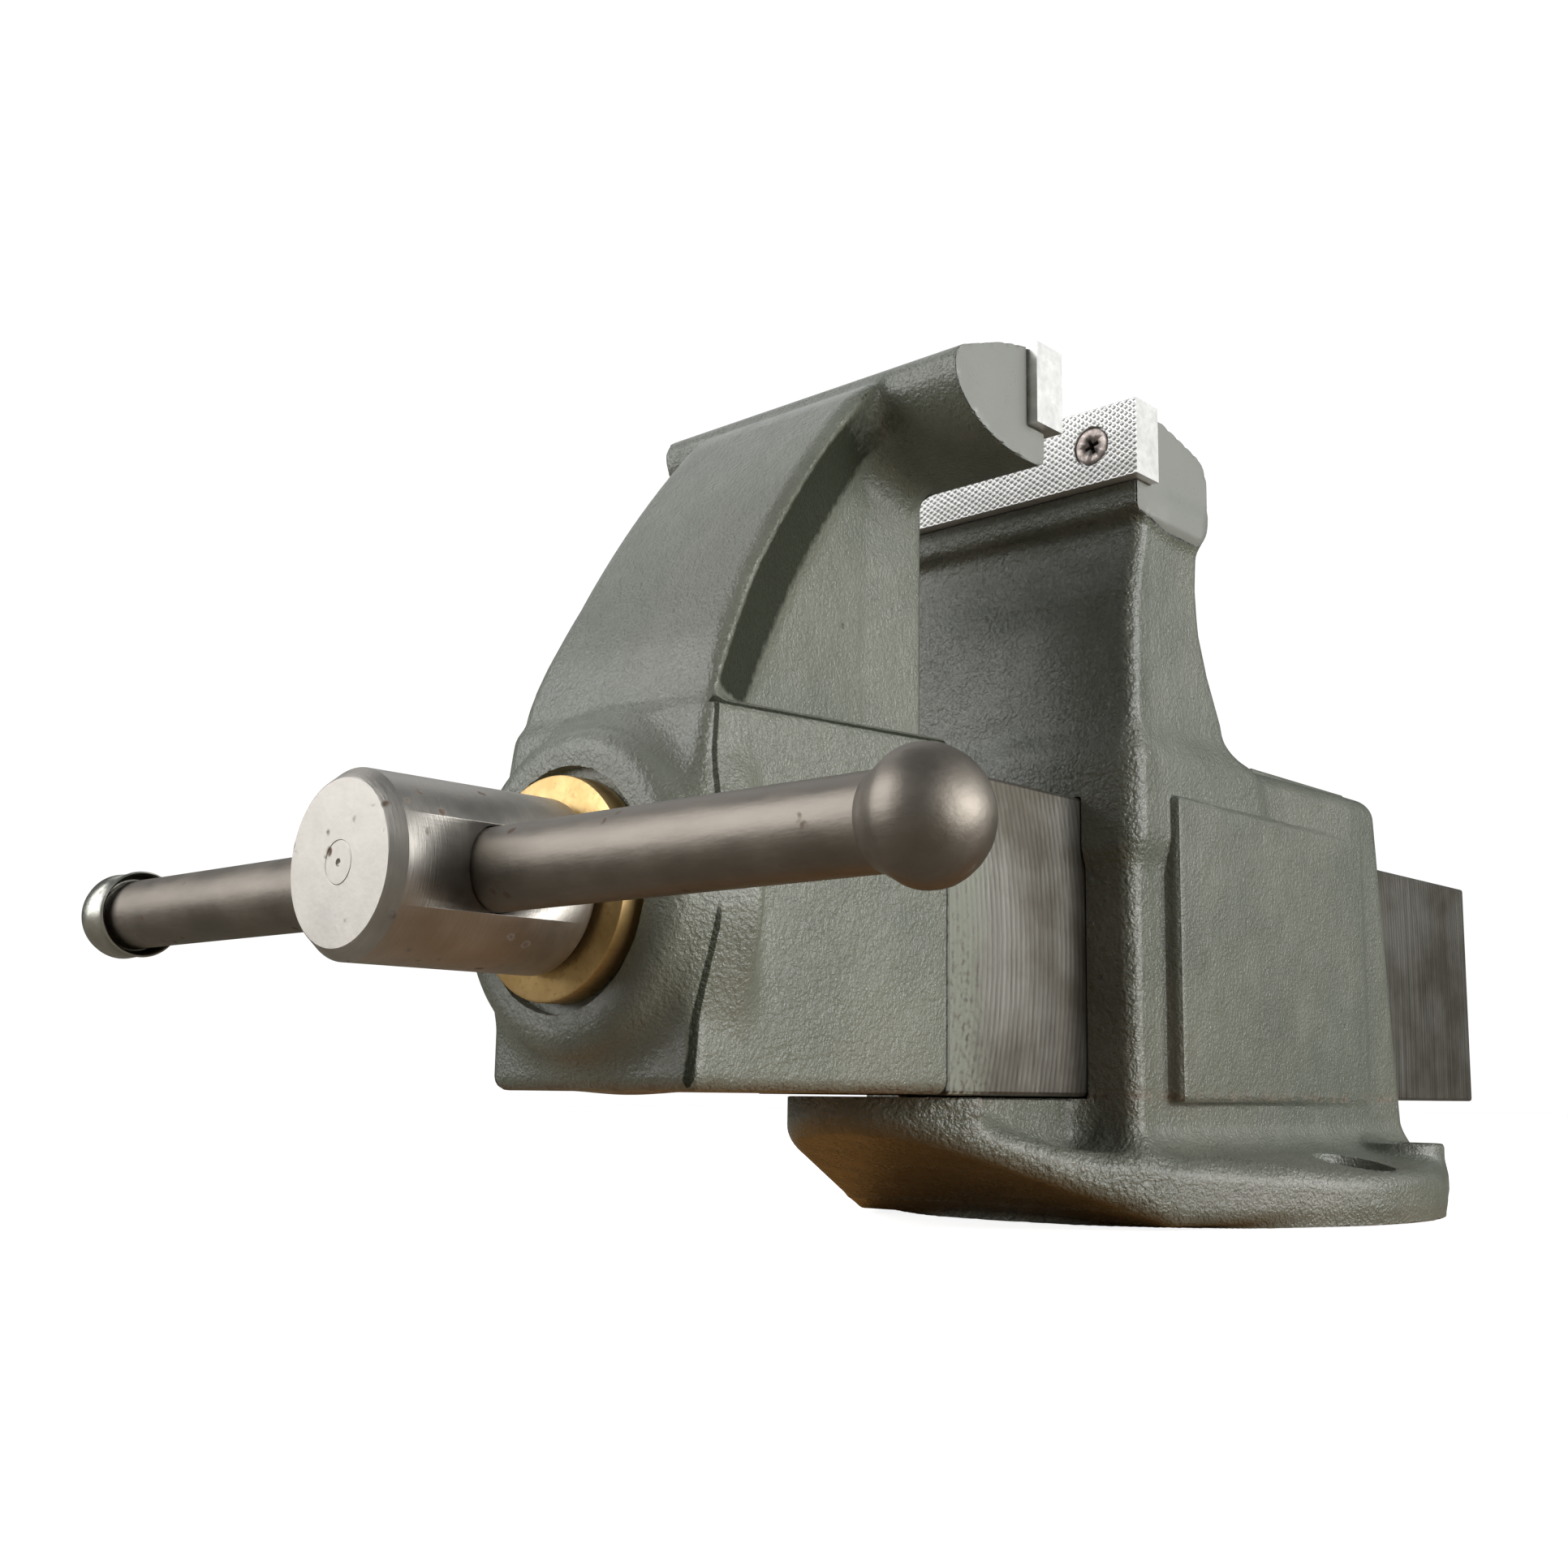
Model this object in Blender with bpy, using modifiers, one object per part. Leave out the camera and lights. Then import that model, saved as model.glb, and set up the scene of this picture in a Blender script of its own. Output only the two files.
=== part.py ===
"""Bench vise with 127 mm jaws, as an assembly of separate pieces.

Units are metres and +Z is up. The origin is the centre of the round underside of the
base. The slide runs along Y, with the spindle head at -Y, and +X is the right-hand side.
"""

from math import acos
from math import cos
from math import pi
from math import radians
from math import sin

import bmesh
import bpy
from mathutils import Matrix
from mathutils import Vector

# Fits
GAP = 0.0003                     # between touching or sliding pieces
CUT = 0.004                      # how far a cutter runs past a face

# Jaws
JAW_WIDTH = 0.127
JAW_OPENING = 0.042
INSERT_HEIGHT = 0.0255
INSERT_THICKNESS = 0.0135
INSERT_BOTTOM = 0.2395
FRONT_GRIP_Y = -0.153
REAR_GRIP_Y = FRONT_GRIP_Y + JAW_OPENING
CAST_JAW_HALF = 0.0612

# Insert screws
SCREW_SPREAD = 0.046
SCREW_HEIGHT = 0.2525
SCREW_HEAD_RADIUS = 0.0062
SCREW_SHANK_RADIUS = 0.003
SCREW_LENGTH = 0.026

# Slide bar
BAR_HALF = 0.0381
BAR_BOTTOM = 0.0404
BAR_TOP = 0.136
BAR_FRONT = -0.178
BAR_REAR = 0.206
CHANNEL_HALF = 0.024
CHANNEL_TOP = 0.118
CHANNEL_FRONT = -0.166
TENON_HALF = 0.030
TENON_BOTTOM = 0.056
TENON_TOP = 0.126
TENON_FRONT = -0.238

# Front jaw casting
BOX_HALF = 0.0395
BOX_FRONT = -0.280
BOX_REAR = -0.1785
BOX_BOTTOM = 0.0406
BOX_TOP = 0.1415
BOSS_FRONT = -0.290
BOSS_RADIUS = 0.038
BOSS_ROOT_RADIUS = 0.0435
COUNTERBORE_RADIUS = 0.032
COUNTERBORE_DEPTH = 0.0035
HORN_HALF = 0.0355
HORN_THICKNESS = 0.015
WEB_HALF = 0.0175
WEB_REAR = -0.162
FRONT_WALL_BACK = -0.262

# Rear jaw casting
FLANGE_RADIUS = 0.1016
FLANGE_TOP = 0.016
NOSE_RADIUS = 0.042
NOSE_CENTRE_Y = -0.1415
NOSE_WALL_BOTTOM = 0.031
TUNNEL_FLOOR = 0.0398
TUNNEL_HALF = BAR_HALF + 0.0004
TUNNEL_TOP = BAR_TOP + 0.0005
HOUSING_FRONT = -0.1056
HOUSING_FRONT_HALF = 0.0562
HOUSING_REAR_HALF = 0.0625
HOUSING_TOP = 0.1555
PANEL_FACE = 0.063
NECK_HALF = 0.0575
PAD_HALF = 0.050
PAD_TOP = 0.1585
BOLT_RADIUS = 0.0065
FRONT_BOLT = (0.084, -0.014)
REAR_BOLT = (0.077, 0.042)
REAR_PAD_RADIUS = 0.014
REAR_PAD_TOP = 0.025

# Spindle, nut and handle
AXIS_Z = 0.0915
SPINDLE_RADIUS = 0.0127
THREAD_RADIUS = 0.0124
SPINDLE_REAR = 0.142
HEAD_RADIUS = 0.0213
HEAD_FRONT = -0.355
HEAD_REAR = -0.2963
BORE_RADIUS = SPINDLE_RADIUS + 0.0004
COLLAR_RADIUS = 0.0292
COLLAR_FRONT = -0.294
HANDLE_Y = -0.3246
HANDLE_RADIUS = 0.009525
HANDLE_BALL_RADIUS = 0.0132
HANDLE_BALL_LENGTH = 0.030
HANDLE_LEFT = -0.172
HANDLE_RIGHT = 0.161
NUT_Y = -0.044
NUT_HALF = 0.020
NUT_HALF_LENGTH = 0.026
NUT_TOP = 0.112
NUT_BOLT_RADIUS = 0.006
NUT_RECESS_TOP = 0.016
KEY_HALF = 0.008
KEY_HALF_LENGTH = 0.018
KEY_BOTTOM = 0.030
RETAINER_FRONT = FRONT_WALL_BACK + 0.0031
RETAINER_BACK = RETAINER_FRONT + 0.016
CROSS_PIN_Y = (RETAINER_FRONT + RETAINER_BACK) / 2
CROSS_PIN_RADIUS = 0.003

# Pins between the front jaw and the bar
BAR_PINS = (("bar_pin_front", -0.222), ("bar_pin_rear", -0.194))
BAR_PIN_RADIUS = 0.004
BAR_PIN_X = 0.0225
BAR_PIN_TOP = 0.110

PAINT = ((0.27, 0.29, 0.25, 1.0), 0.0, 0.38)
BRIGHT = ((0.72, 0.72, 0.70, 1.0), 1.0, 0.30)
STEEL = ((0.42, 0.40, 0.37, 1.0), 1.0, 0.40)
DARK_STEEL = ((0.16, 0.14, 0.13, 1.0), 1.0, 0.35)
BLACK_OXIDE = ((0.05, 0.05, 0.05, 1.0), 1.0, 0.45)
BRONZE = ((0.65, 0.43, 0.16, 1.0), 1.0, 0.35)


def clear_scene():
    """Remove every object, so the script can run twice."""
    for obj in list(bpy.data.objects):
        bpy.data.objects.remove(obj, do_unlink=True)


def new_collection(name):
    """Return a fresh collection linked to the scene."""
    group = bpy.data.collections.new(name)
    bpy.context.scene.collection.children.link(group)
    return group


clear_scene()
PARTS = new_collection("bench_vise")
TOOLS = new_collection("bench_vise_cutters")


def material(name, look):
    """Make a Principled material from a colour, a metallic and a roughness value."""
    colour, metallic, roughness = look
    mat = bpy.data.materials.new(name)
    mat.use_nodes = True
    shader = mat.node_tree.nodes["Principled BSDF"]
    shader.inputs["Base Color"].default_value = colour
    shader.inputs["Metallic"].default_value = metallic
    shader.inputs["Roughness"].default_value = roughness
    mat.diffuse_color = colour
    return mat


def as_part(obj, look):
    """Put an object among the parts, with a material of its own."""
    PARTS.objects.link(obj)
    obj.data.materials.clear()
    obj.data.materials.append(material(obj.name, look))
    return obj


def as_tool(obj):
    """Put an object among the cutters and joined shapes."""
    TOOLS.objects.link(obj)
    obj.hide_render = True
    obj.display_type = "WIRE"
    return obj


def from_bmesh(name, bm):
    """Turn a bmesh into an object."""
    bmesh.ops.recalc_face_normals(bm, faces=bm.faces[:])
    mesh = bpy.data.meshes.new(name)
    bm.to_mesh(mesh)
    bm.free()
    return bpy.data.objects.new(name, mesh)


def box(name, low, high):
    """A box between two corners."""
    low = Vector(low)
    high = Vector(high)
    bm = bmesh.new()
    bmesh.ops.create_cube(bm, size=1.0)
    bmesh.ops.scale(bm, vec=high - low, verts=bm.verts[:])
    bmesh.ops.translate(bm, vec=(low + high) / 2, verts=bm.verts[:])
    return from_bmesh(name, bm)


def turn_to(axis):
    """The rotation that points local +Z along a world axis."""
    if axis == "X":
        return Matrix.Rotation(pi / 2, 4, "Y")
    if axis == "Y":
        return Matrix.Rotation(-pi / 2, 4, "X")
    return Matrix.Identity(4)


def cylinder(name, axis, start, length, radius, end_radius=None, sides=48):
    """A cylinder or cone that starts at a point and runs along an axis."""
    if end_radius is None:
        end_radius = radius
    bm = bmesh.new()
    bmesh.ops.create_cone(bm, cap_ends=True, segments=sides, radius1=radius,
                          radius2=end_radius, depth=length)
    bmesh.ops.translate(bm, vec=(0, 0, length / 2), verts=bm.verts[:])
    bmesh.ops.transform(bm, matrix=Matrix.Translation(start) @ turn_to(axis), verts=bm.verts[:])
    return from_bmesh(name, bm)


def hull(name, points):
    """The convex solid around some points."""
    bm = bmesh.new()
    for point in points:
        bm.verts.new(point)
    bmesh.ops.convex_hull(bm, input=bm.verts[:])
    bmesh.ops.dissolve_limit(bm, angle_limit=radians(0.5), verts=bm.verts[:], edges=bm.edges[:])
    return from_bmesh(name, bm)


def prism(name, outline, plane, low, high):
    """A flat outline, extruded across its plane: YZ outlines run along X, XY along Z."""
    curve = bpy.data.curves.new(name, "CURVE")
    curve.dimensions = "2D"
    curve.fill_mode = "BOTH"
    curve.extrude = (high - low) / 2
    spline = curve.splines.new("POLY")
    spline.points.add(len(outline) - 1)
    for point, (a, b) in zip(spline.points, outline):
        point.co = (a, b, 0, 1)
    spline.use_cyclic_u = True
    flat = bpy.data.objects.new(name + "_outline", curve)
    middle = (low + high) / 2
    if plane == "YZ":
        axes = Matrix(((0, 0, 1, middle), (1, 0, 0, 0), (0, 1, 0, 0), (0, 0, 0, 1)))
    else:
        axes = Matrix.Translation((0, 0, middle))
    flat.matrix_world = axes
    TOOLS.objects.link(flat)
    bpy.context.view_layer.update()
    evaluated = flat.evaluated_get(bpy.context.evaluated_depsgraph_get())
    mesh = bpy.data.meshes.new_from_object(evaluated)
    bpy.data.objects.remove(flat, do_unlink=True)
    bm = bmesh.new()
    bm.from_mesh(mesh)
    bpy.data.meshes.remove(mesh)
    bmesh.ops.remove_doubles(bm, verts=bm.verts[:], dist=1e-6)
    bmesh.ops.transform(bm, matrix=axes, verts=bm.verts[:])
    return from_bmesh(name, bm)


def turned(name, axis, origin, profile, steps=48):
    """A turned piece: (radius, height) points run down the outer side, top to bottom."""
    mesh = bpy.data.meshes.new(name)
    verts = [(radius, 0, height) for radius, height in profile]
    edges = [(i, i + 1) for i in range(len(verts) - 1)]
    mesh.from_pydata(verts, edges, [])
    obj = bpy.data.objects.new(name, mesh)
    obj.matrix_world = Matrix.Translation(origin) @ turn_to(axis)
    screw = obj.modifiers.new("turn", "SCREW")
    screw.steps = steps
    screw.render_steps = steps
    screw.use_merge_vertices = True
    screw.merge_threshold = 0.00002
    screw.use_smooth_shade = True
    return obj


def bevel(obj, width, segments=3, angle=40):
    """Round the sharp edges of an object."""
    mod = obj.modifiers.new("round", "BEVEL")
    mod.width = width
    mod.segments = segments
    mod.limit_method = "ANGLE"
    mod.angle_limit = radians(angle)
    return obj


def combine(target, tool, operation):
    """Join a shape to the target or cut it away."""
    as_tool(tool)
    mod = target.modifiers.new(tool.name, "BOOLEAN")
    mod.object = tool
    mod.operation = operation
    mod.solver = "EXACT"


def join(target, *tools):
    """Unite shapes with the target."""
    for tool in tools:
        combine(target, tool, "UNION")


def cut(target, *tools):
    """Cut shapes away from the target."""
    for tool in tools:
        combine(target, tool, "DIFFERENCE")


def smooth(obj, angle=35):
    """Shade the round faces of a mesh smooth and keep its edges sharp."""
    obj.data.shade_smooth()
    obj.data.set_sharp_from_angle(angle=radians(angle))
    return obj


def arc(centre, radii, start, end, steps):
    """Points on an elliptic arc, from one angle in degrees to another."""
    points = []
    for i in range(steps + 1):
        angle = radians(start + (end - start) * i / steps)
        points.append((centre[0] + radii[0] * cos(angle), centre[1] + radii[1] * sin(angle)))
    return points


def arc_through(first, middle, last, steps):
    """Points on the circular arc through three points."""
    ax, ay = first
    bx, by = middle
    cx, cy = last
    d = 2 * (ax * (by - cy) + bx * (cy - ay) + cx * (ay - by))
    a2 = ax * ax + ay * ay
    b2 = bx * bx + by * by
    c2 = cx * cx + cy * cy
    centre = Vector(((a2 * (by - cy) + b2 * (cy - ay) + c2 * (ay - by)) / d,
                     (a2 * (cx - bx) + b2 * (ax - cx) + c2 * (bx - ax)) / d))
    out = Vector(first) - centre
    sweep = out.angle_signed(Vector(last) - centre)
    points = []
    for i in range(steps + 1):
        turn = Matrix.Rotation(-sweep * i / steps, 2)
        points.append(tuple(centre + turn @ out))
    return points


def front_jaw_outline():
    """Side view of the front jaw's head: its nose, rounded belly, lip and insert seat."""
    seat_y = FRONT_GRIP_Y - INSERT_THICKNESS - GAP
    seat_z = INSERT_BOTTOM - GAP
    lip_y = -0.1585
    belly = arc((-0.1652, 0.247), (0.0370, 0.0193), 180, 270, 10)
    crown = arc((-0.1952, 0.248), (0.007, 0.007), 115, 180, 4)
    outline = [(seat_y, seat_z), (seat_y, 0.2638)]
    outline += [(-0.1817, 0.2602)] + crown + belly[1:]
    outline += [(lip_y - 0.0025, 0.2278), (lip_y, 0.2303), (lip_y, seat_z)]
    return outline


def horn_front():
    """The swept front edge of the front jaw's neck, from the box up to the head."""
    return arc_through((-0.2785, 0.1400), (-0.2454, 0.2000), (-0.2010, 0.2570), 14)


def front_jaw():
    """The moving casting: box, spindle boss, T-section neck and jaw head."""
    body = box("front_jaw", (-BOX_HALF, BOX_FRONT, BOX_BOTTOM), (BOX_HALF, BOX_REAR, BOX_TOP))
    as_part(body, PAINT)
    bevel(body, 0.004)

    front = horn_front()
    back = [(y + HORN_THICKNESS, z - 0.004) for y, z in reversed(front)]
    horn = prism("front_jaw_horn", front + back, "YZ", -HORN_HALF, HORN_HALF)
    bevel(horn, 0.003, 2)

    web_outline = [(y + 0.004, z) for y, z in front[:-1]]
    web_outline += [(-0.180, 0.245), (WEB_REAR, 0.232), (WEB_REAR, 0.142)]
    web_outline += [(BOX_REAR - 0.006, 0.136), (-0.270, 0.134)]
    web = prism("front_jaw_web", web_outline, "YZ", -WEB_HALF, WEB_HALF)
    bevel(web, 0.002, 2)

    head = prism("front_jaw_head", front_jaw_outline(), "YZ", -CAST_JAW_HALF, CAST_JAW_HALF)
    boss_depth = BOX_FRONT + 0.010 - BOSS_FRONT
    boss = cylinder("front_jaw_boss", "Y", (0, BOSS_FRONT, AXIS_Z), boss_depth,
                    BOSS_RADIUS, BOSS_ROOT_RADIUS, 64)
    join(body, head, web, horn, boss)

    socket = box("tenon_socket", (-TENON_HALF, TENON_FRONT, TENON_BOTTOM),
                 (TENON_HALF, BOX_REAR + CUT, TENON_TOP))
    cavity = cylinder("collar_cavity", "Y", (0, FRONT_WALL_BACK, AXIS_Z),
                      TENON_FRONT + CUT - FRONT_WALL_BACK, 0.024)
    bore = cylinder("spindle_bore", "Y", (0, BOSS_FRONT - CUT, AXIS_Z),
                    FRONT_WALL_BACK + 2 * CUT - BOSS_FRONT, BORE_RADIUS)
    counterbore = cylinder("collar_counterbore", "Y", (0, BOSS_FRONT - CUT, AXIS_Z),
                           CUT + COUNTERBORE_DEPTH, COUNTERBORE_RADIUS, sides=64)
    cut(body, socket, cavity, bore, counterbore)
    for pin in BAR_PINS:
        cut(body, pin_hole("jaw_" + pin[0], pin, BOX_BOTTOM - CUT))
    for side in (-1, 1):
        hole = cylinder("front_screw_hole", "Y", (side * SCREW_SPREAD, -0.181, SCREW_HEIGHT),
                        0.016, SCREW_SHANK_RADIUS + GAP, sides=24)
        cut(body, hole)


def pin_hole(name, pin, bottom):
    """The hole for one of the pins that hold the bar in the front jaw."""
    return cylinder(name + "_hole", "Z", (BAR_PIN_X, pin[1], bottom), BAR_PIN_TOP + GAP - bottom,
                    BAR_PIN_RADIUS + GAP, sides=24)


def bar_pins():
    """Two plain pins, driven up through the front jaw into the bar's tenon."""
    for pin in BAR_PINS:
        start = BOX_BOTTOM + 0.001
        rod = cylinder(pin[0], "Z", (BAR_PIN_X, pin[1], start), BAR_PIN_TOP - start,
                       BAR_PIN_RADIUS, sides=24)
        as_part(rod, STEEL)
        smooth(bevel(rod, 0.0006, 2))


def slide_bar():
    """The square steel slide: a channel open underneath, with a tenon at its front."""
    bar = box("slide_bar", (-BAR_HALF, BAR_FRONT, BAR_BOTTOM), (BAR_HALF, BAR_REAR, BAR_TOP))
    as_part(bar, STEEL)
    bevel(bar, 0.0012, 2)
    tenon = box("bar_tenon", (GAP - TENON_HALF, TENON_FRONT + GAP, TENON_BOTTOM + GAP),
                (TENON_HALF - GAP, BAR_FRONT + 0.006, TENON_TOP - GAP))
    join(bar, tenon)
    channel = box("bar_channel", (-CHANNEL_HALF, CHANNEL_FRONT, BAR_BOTTOM - CUT),
                  (CHANNEL_HALF, BAR_REAR + CUT, CHANNEL_TOP))
    passage = cylinder("bar_passage", "Y", (0, TENON_FRONT - CUT, AXIS_Z),
                       CHANNEL_FRONT - TENON_FRONT + 2 * CUT, SPINDLE_RADIUS + 0.0013)
    cut(bar, channel, passage)
    for pin in BAR_PINS:
        cut(bar, pin_hole("tenon_" + pin[0], pin, TENON_BOTTOM - CUT))


def insert(name, grip_y, inward):
    """A replaceable jaw insert: inward is +1 when its grip face looks along +Y."""
    back = grip_y - inward * INSERT_THICKNESS
    low = (-JAW_WIDTH / 2, min(grip_y, back), INSERT_BOTTOM)
    high = (JAW_WIDTH / 2, max(grip_y, back), INSERT_BOTTOM + INSERT_HEIGHT)
    plate = box(name, low, high)
    as_part(plate, BRIGHT)
    bevel(plate, 0.0005, 1)
    depth = 0.0034
    for side in (-1, 1):
        where = (side * SCREW_SPREAD, 0, SCREW_HEIGHT)
        sunk = turned(name + "_countersink", "Y", where,
                      screw_profile(grip_y, inward, depth, GAP, INSERT_THICKNESS + CUT, CUT), 24)
        cut(plate, sunk)


def screw_profile(grip_y, inward, depth, margin, length, rise):
    """Profile of a flat-head screw or of its hole, as heights along +Y."""
    sunk = 0.0004
    face = grip_y - inward * (sunk - margin)
    head = SCREW_HEAD_RADIUS + margin
    shank = SCREW_SHANK_RADIUS + margin
    points = [(0, face + inward * rise), (head, face + inward * rise), (head, face)]
    points += [(shank, face - inward * depth), (shank, face - inward * length)]
    points += [(0, face - inward * length)]
    if rise == 0:
        points.pop(1)
    if inward < 0:
        points.reverse()
    return points


def insert_screws(end, grip_y, inward):
    """The two flat-head screws of one insert."""
    for side, label in ((-1, "left"), (1, "right")):
        where = (side * SCREW_SPREAD, 0, SCREW_HEIGHT)
        screw = turned(end + "_insert_screw_" + label, "Y", where,
                       screw_profile(grip_y, inward, 0.0034, 0, SCREW_LENGTH, 0), 24)
        as_part(screw, BLACK_OXIDE)


def teardrop(radius, nose_radius, count):
    """Outline of the base as (x, y, is_nose): the hull of the flange and the nose circle."""
    points = []
    for i in range(count):
        angle = 2 * pi * (i + 0.5) / count
        across = cos(angle)
        along = sin(angle)
        if nose_radius + NOSE_CENTRE_Y * along > radius:
            points.append((nose_radius * across, NOSE_CENTRE_Y + nose_radius * along, True))
        else:
            points.append((radius * across, radius * along, False))
    return points


def base_plate():
    """The round flange, which sweeps up at the front into the nose under the slide."""
    count = 80
    outline = teardrop(FLANGE_RADIUS, NOSE_RADIUS, count)
    rings = []
    for height in (0.0, 0.003):
        ring = []
        for i in range(count):
            angle = 2 * pi * (i + 0.5) / count
            ring.append((FLANGE_RADIUS * cos(angle), FLANGE_RADIUS * sin(angle), height))
        rings.append(ring)
    rings.append([(x, y, NOSE_WALL_BOTTOM if nose else FLANGE_TOP) for x, y, nose in outline])
    rings.append([(x * 0.7, y * 0.8, NOSE_WALL_BOTTOM + 0.004 if nose else FLANGE_TOP + 0.001)
                  for x, y, nose in outline])
    bm = bmesh.new()
    rows = [[bm.verts.new(point) for point in ring] for ring in rings]
    for lower, upper in zip(rows, rows[1:]):
        for i in range(count):
            j = (i + 1) % count
            bm.faces.new((lower[i], lower[j], upper[j], upper[i]))
    bm.faces.new(reversed(rows[0]))
    centre = bm.verts.new((0, 0, FLANGE_TOP + 0.004))
    for i in range(count):
        bm.faces.new((rows[-1][i], rows[-1][(i + 1) % count], centre))
    return from_bmesh("base_plate", bm)


def housing():
    """The block around the slide, wider and leaning at the rear."""
    points = []
    for height, rear in ((0.006, 0.086), (HOUSING_TOP, 0.067)):
        for side in (-1, 1):
            points.append((side * HOUSING_FRONT_HALF, HOUSING_FRONT, height))
            points.append((side * HOUSING_REAR_HALF, 0.038, height))
            points.append((side * HOUSING_REAR_HALF, rear, height))
    return bevel(hull("rear_jaw_body", points), 0.007, 3)


def rear_jaw_outline():
    """Side view of the rear jaw's head."""
    seat_y = REAR_GRIP_Y + INSERT_THICKNESS + GAP
    seat_z = INSERT_BOTTOM - GAP
    lip_y = HOUSING_FRONT - GAP
    outline = [(seat_y, seat_z), (lip_y, seat_z)]
    outline += arc((lip_y + 0.004, 0.232), (0.004, 0.004), 180, 270, 3)
    outline += arc((-0.0695, 0.237), (0.009, 0.009), 270, 360, 5)
    outline += arc((-0.0695, 0.2495), (0.009, 0.009), 0, 76, 5)
    outline += [(seat_y, 0.2640)]
    return outline


def neck_outline():
    """Side view of the column that carries the rear jaw."""
    front = HOUSING_FRONT + 0.0004
    outline = [(front, 0.140), (-0.030, 0.140), (-0.030, 0.1535)]
    outline += arc((-0.032, 0.1635), (0.010, 0.010), 270, 200, 4)
    outline += [(-0.0585, 0.196), (-0.0605, 0.210), (-0.0605, 0.236), (front, 0.236)]
    return outline


def nose_outline():
    """Plan of the ledge that carries the slide in front of the housing."""
    tip = arc((0, NOSE_CENTRE_Y), (NOSE_RADIUS + 0.001, NOSE_RADIUS + 0.001), 180, 360, 20)
    return tip + [(NOSE_RADIUS + 0.001, -0.060), (-NOSE_RADIUS - 0.001, -0.060)]


def rear_jaw_body():
    """The fixed casting: flange, nose, housing with its tunnel, column and rear jaw."""
    body = housing()
    as_part(body, PAINT)
    neck = bevel(prism("rear_neck", neck_outline(), "YZ", -NECK_HALF, NECK_HALF), 0.005, 2, 50)
    head = prism("rear_jaw_head", rear_jaw_outline(), "YZ", -CAST_JAW_HALF, CAST_JAW_HALF)
    ledge = prism("rear_nose", nose_outline(), "XY", 0.022, TUNNEL_FLOOR)
    anvil = box("anvil_pad", (-PAD_HALF, -0.015, 0.148), (PAD_HALF, 0.061, PAD_TOP))
    panel = box("side_panels", (-PANEL_FACE, -0.088, 0.0392), (PANEL_FACE, 0.044, 0.137))
    join(body, base_plate(), ledge, neck, head)
    join(body, bevel(anvil, 0.001, 2), bevel(panel, 0.0012, 2))
    for side in (-1, 1):
        pad = cylinder("rear_bolt_pad", "Z", (side * REAR_BOLT[0], REAR_BOLT[1], 0.008),
                       REAR_PAD_TOP - 0.008, REAR_PAD_RADIUS, sides=32)
        join(body, pad)

    tunnel = box("slide_tunnel", (-TUNNEL_HALF, -0.200, TUNNEL_FLOOR),
                 (TUNNEL_HALF, 0.100, TUNNEL_TOP))
    key_slot = box("nut_key_slot", (-KEY_HALF - GAP, NUT_Y - KEY_HALF_LENGTH - GAP, KEY_BOTTOM - GAP),
                   (KEY_HALF + GAP, NUT_Y + KEY_HALF_LENGTH + GAP, TUNNEL_FLOOR + CUT))
    recess = cylinder("nut_bolt_recess", "Z", (0, NUT_Y, -CUT), NUT_RECESS_TOP + CUT, 0.015)
    passage = cylinder("nut_bolt_passage", "Z", (0, NUT_Y, -CUT), KEY_BOTTOM + 2 * CUT,
                       NUT_BOLT_RADIUS + 0.0004, sides=24)
    cut(body, tunnel, key_slot, recess, passage)
    for side in (-1, 1):
        spot = cylinder("bolt_spotface", "Z", (side * FRONT_BOLT[0], FRONT_BOLT[1], FLANGE_TOP - 0.0008),
                        CUT, 0.0135, sides=32)
        front = cylinder("front_bolt_hole", "Z", (side * FRONT_BOLT[0], FRONT_BOLT[1], -CUT),
                         FLANGE_TOP + 2 * CUT, BOLT_RADIUS, sides=32)
        rear = cylinder("rear_bolt_hole", "Z", (side * REAR_BOLT[0], REAR_BOLT[1], -CUT),
                        REAR_PAD_TOP + 2 * CUT, BOLT_RADIUS, sides=32)
        screw = cylinder("rear_screw_hole", "Y", (side * SCREW_SPREAD, -0.099, SCREW_HEIGHT),
                         0.016, SCREW_SHANK_RADIUS + GAP, sides=24)
        cut(body, spot, front, rear, screw)


def screw_nut():
    """The nut on the tunnel floor, with a key that stops it turning."""
    foot = TUNNEL_FLOOR + GAP
    nut = box("screw_nut", (-NUT_HALF, NUT_Y - NUT_HALF_LENGTH, foot),
              (NUT_HALF, NUT_Y + NUT_HALF_LENGTH, NUT_TOP))
    as_part(nut, STEEL)
    bevel(nut, 0.002, 2)
    key = box("nut_key", (-KEY_HALF, NUT_Y - KEY_HALF_LENGTH, KEY_BOTTOM),
              (KEY_HALF, NUT_Y + KEY_HALF_LENGTH, foot + 0.004))
    join(nut, key)
    bore = cylinder("nut_bore", "Y", (0, NUT_Y - NUT_HALF_LENGTH - CUT, AXIS_Z),
                    2 * (NUT_HALF_LENGTH + CUT), BORE_RADIUS)
    tapped = cylinder("nut_tapped_hole", "Z", (0, NUT_Y, KEY_BOTTOM - CUT), 0.036,
                      NUT_BOLT_RADIUS + GAP, sides=24)
    cut(nut, bore, tapped)


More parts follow.
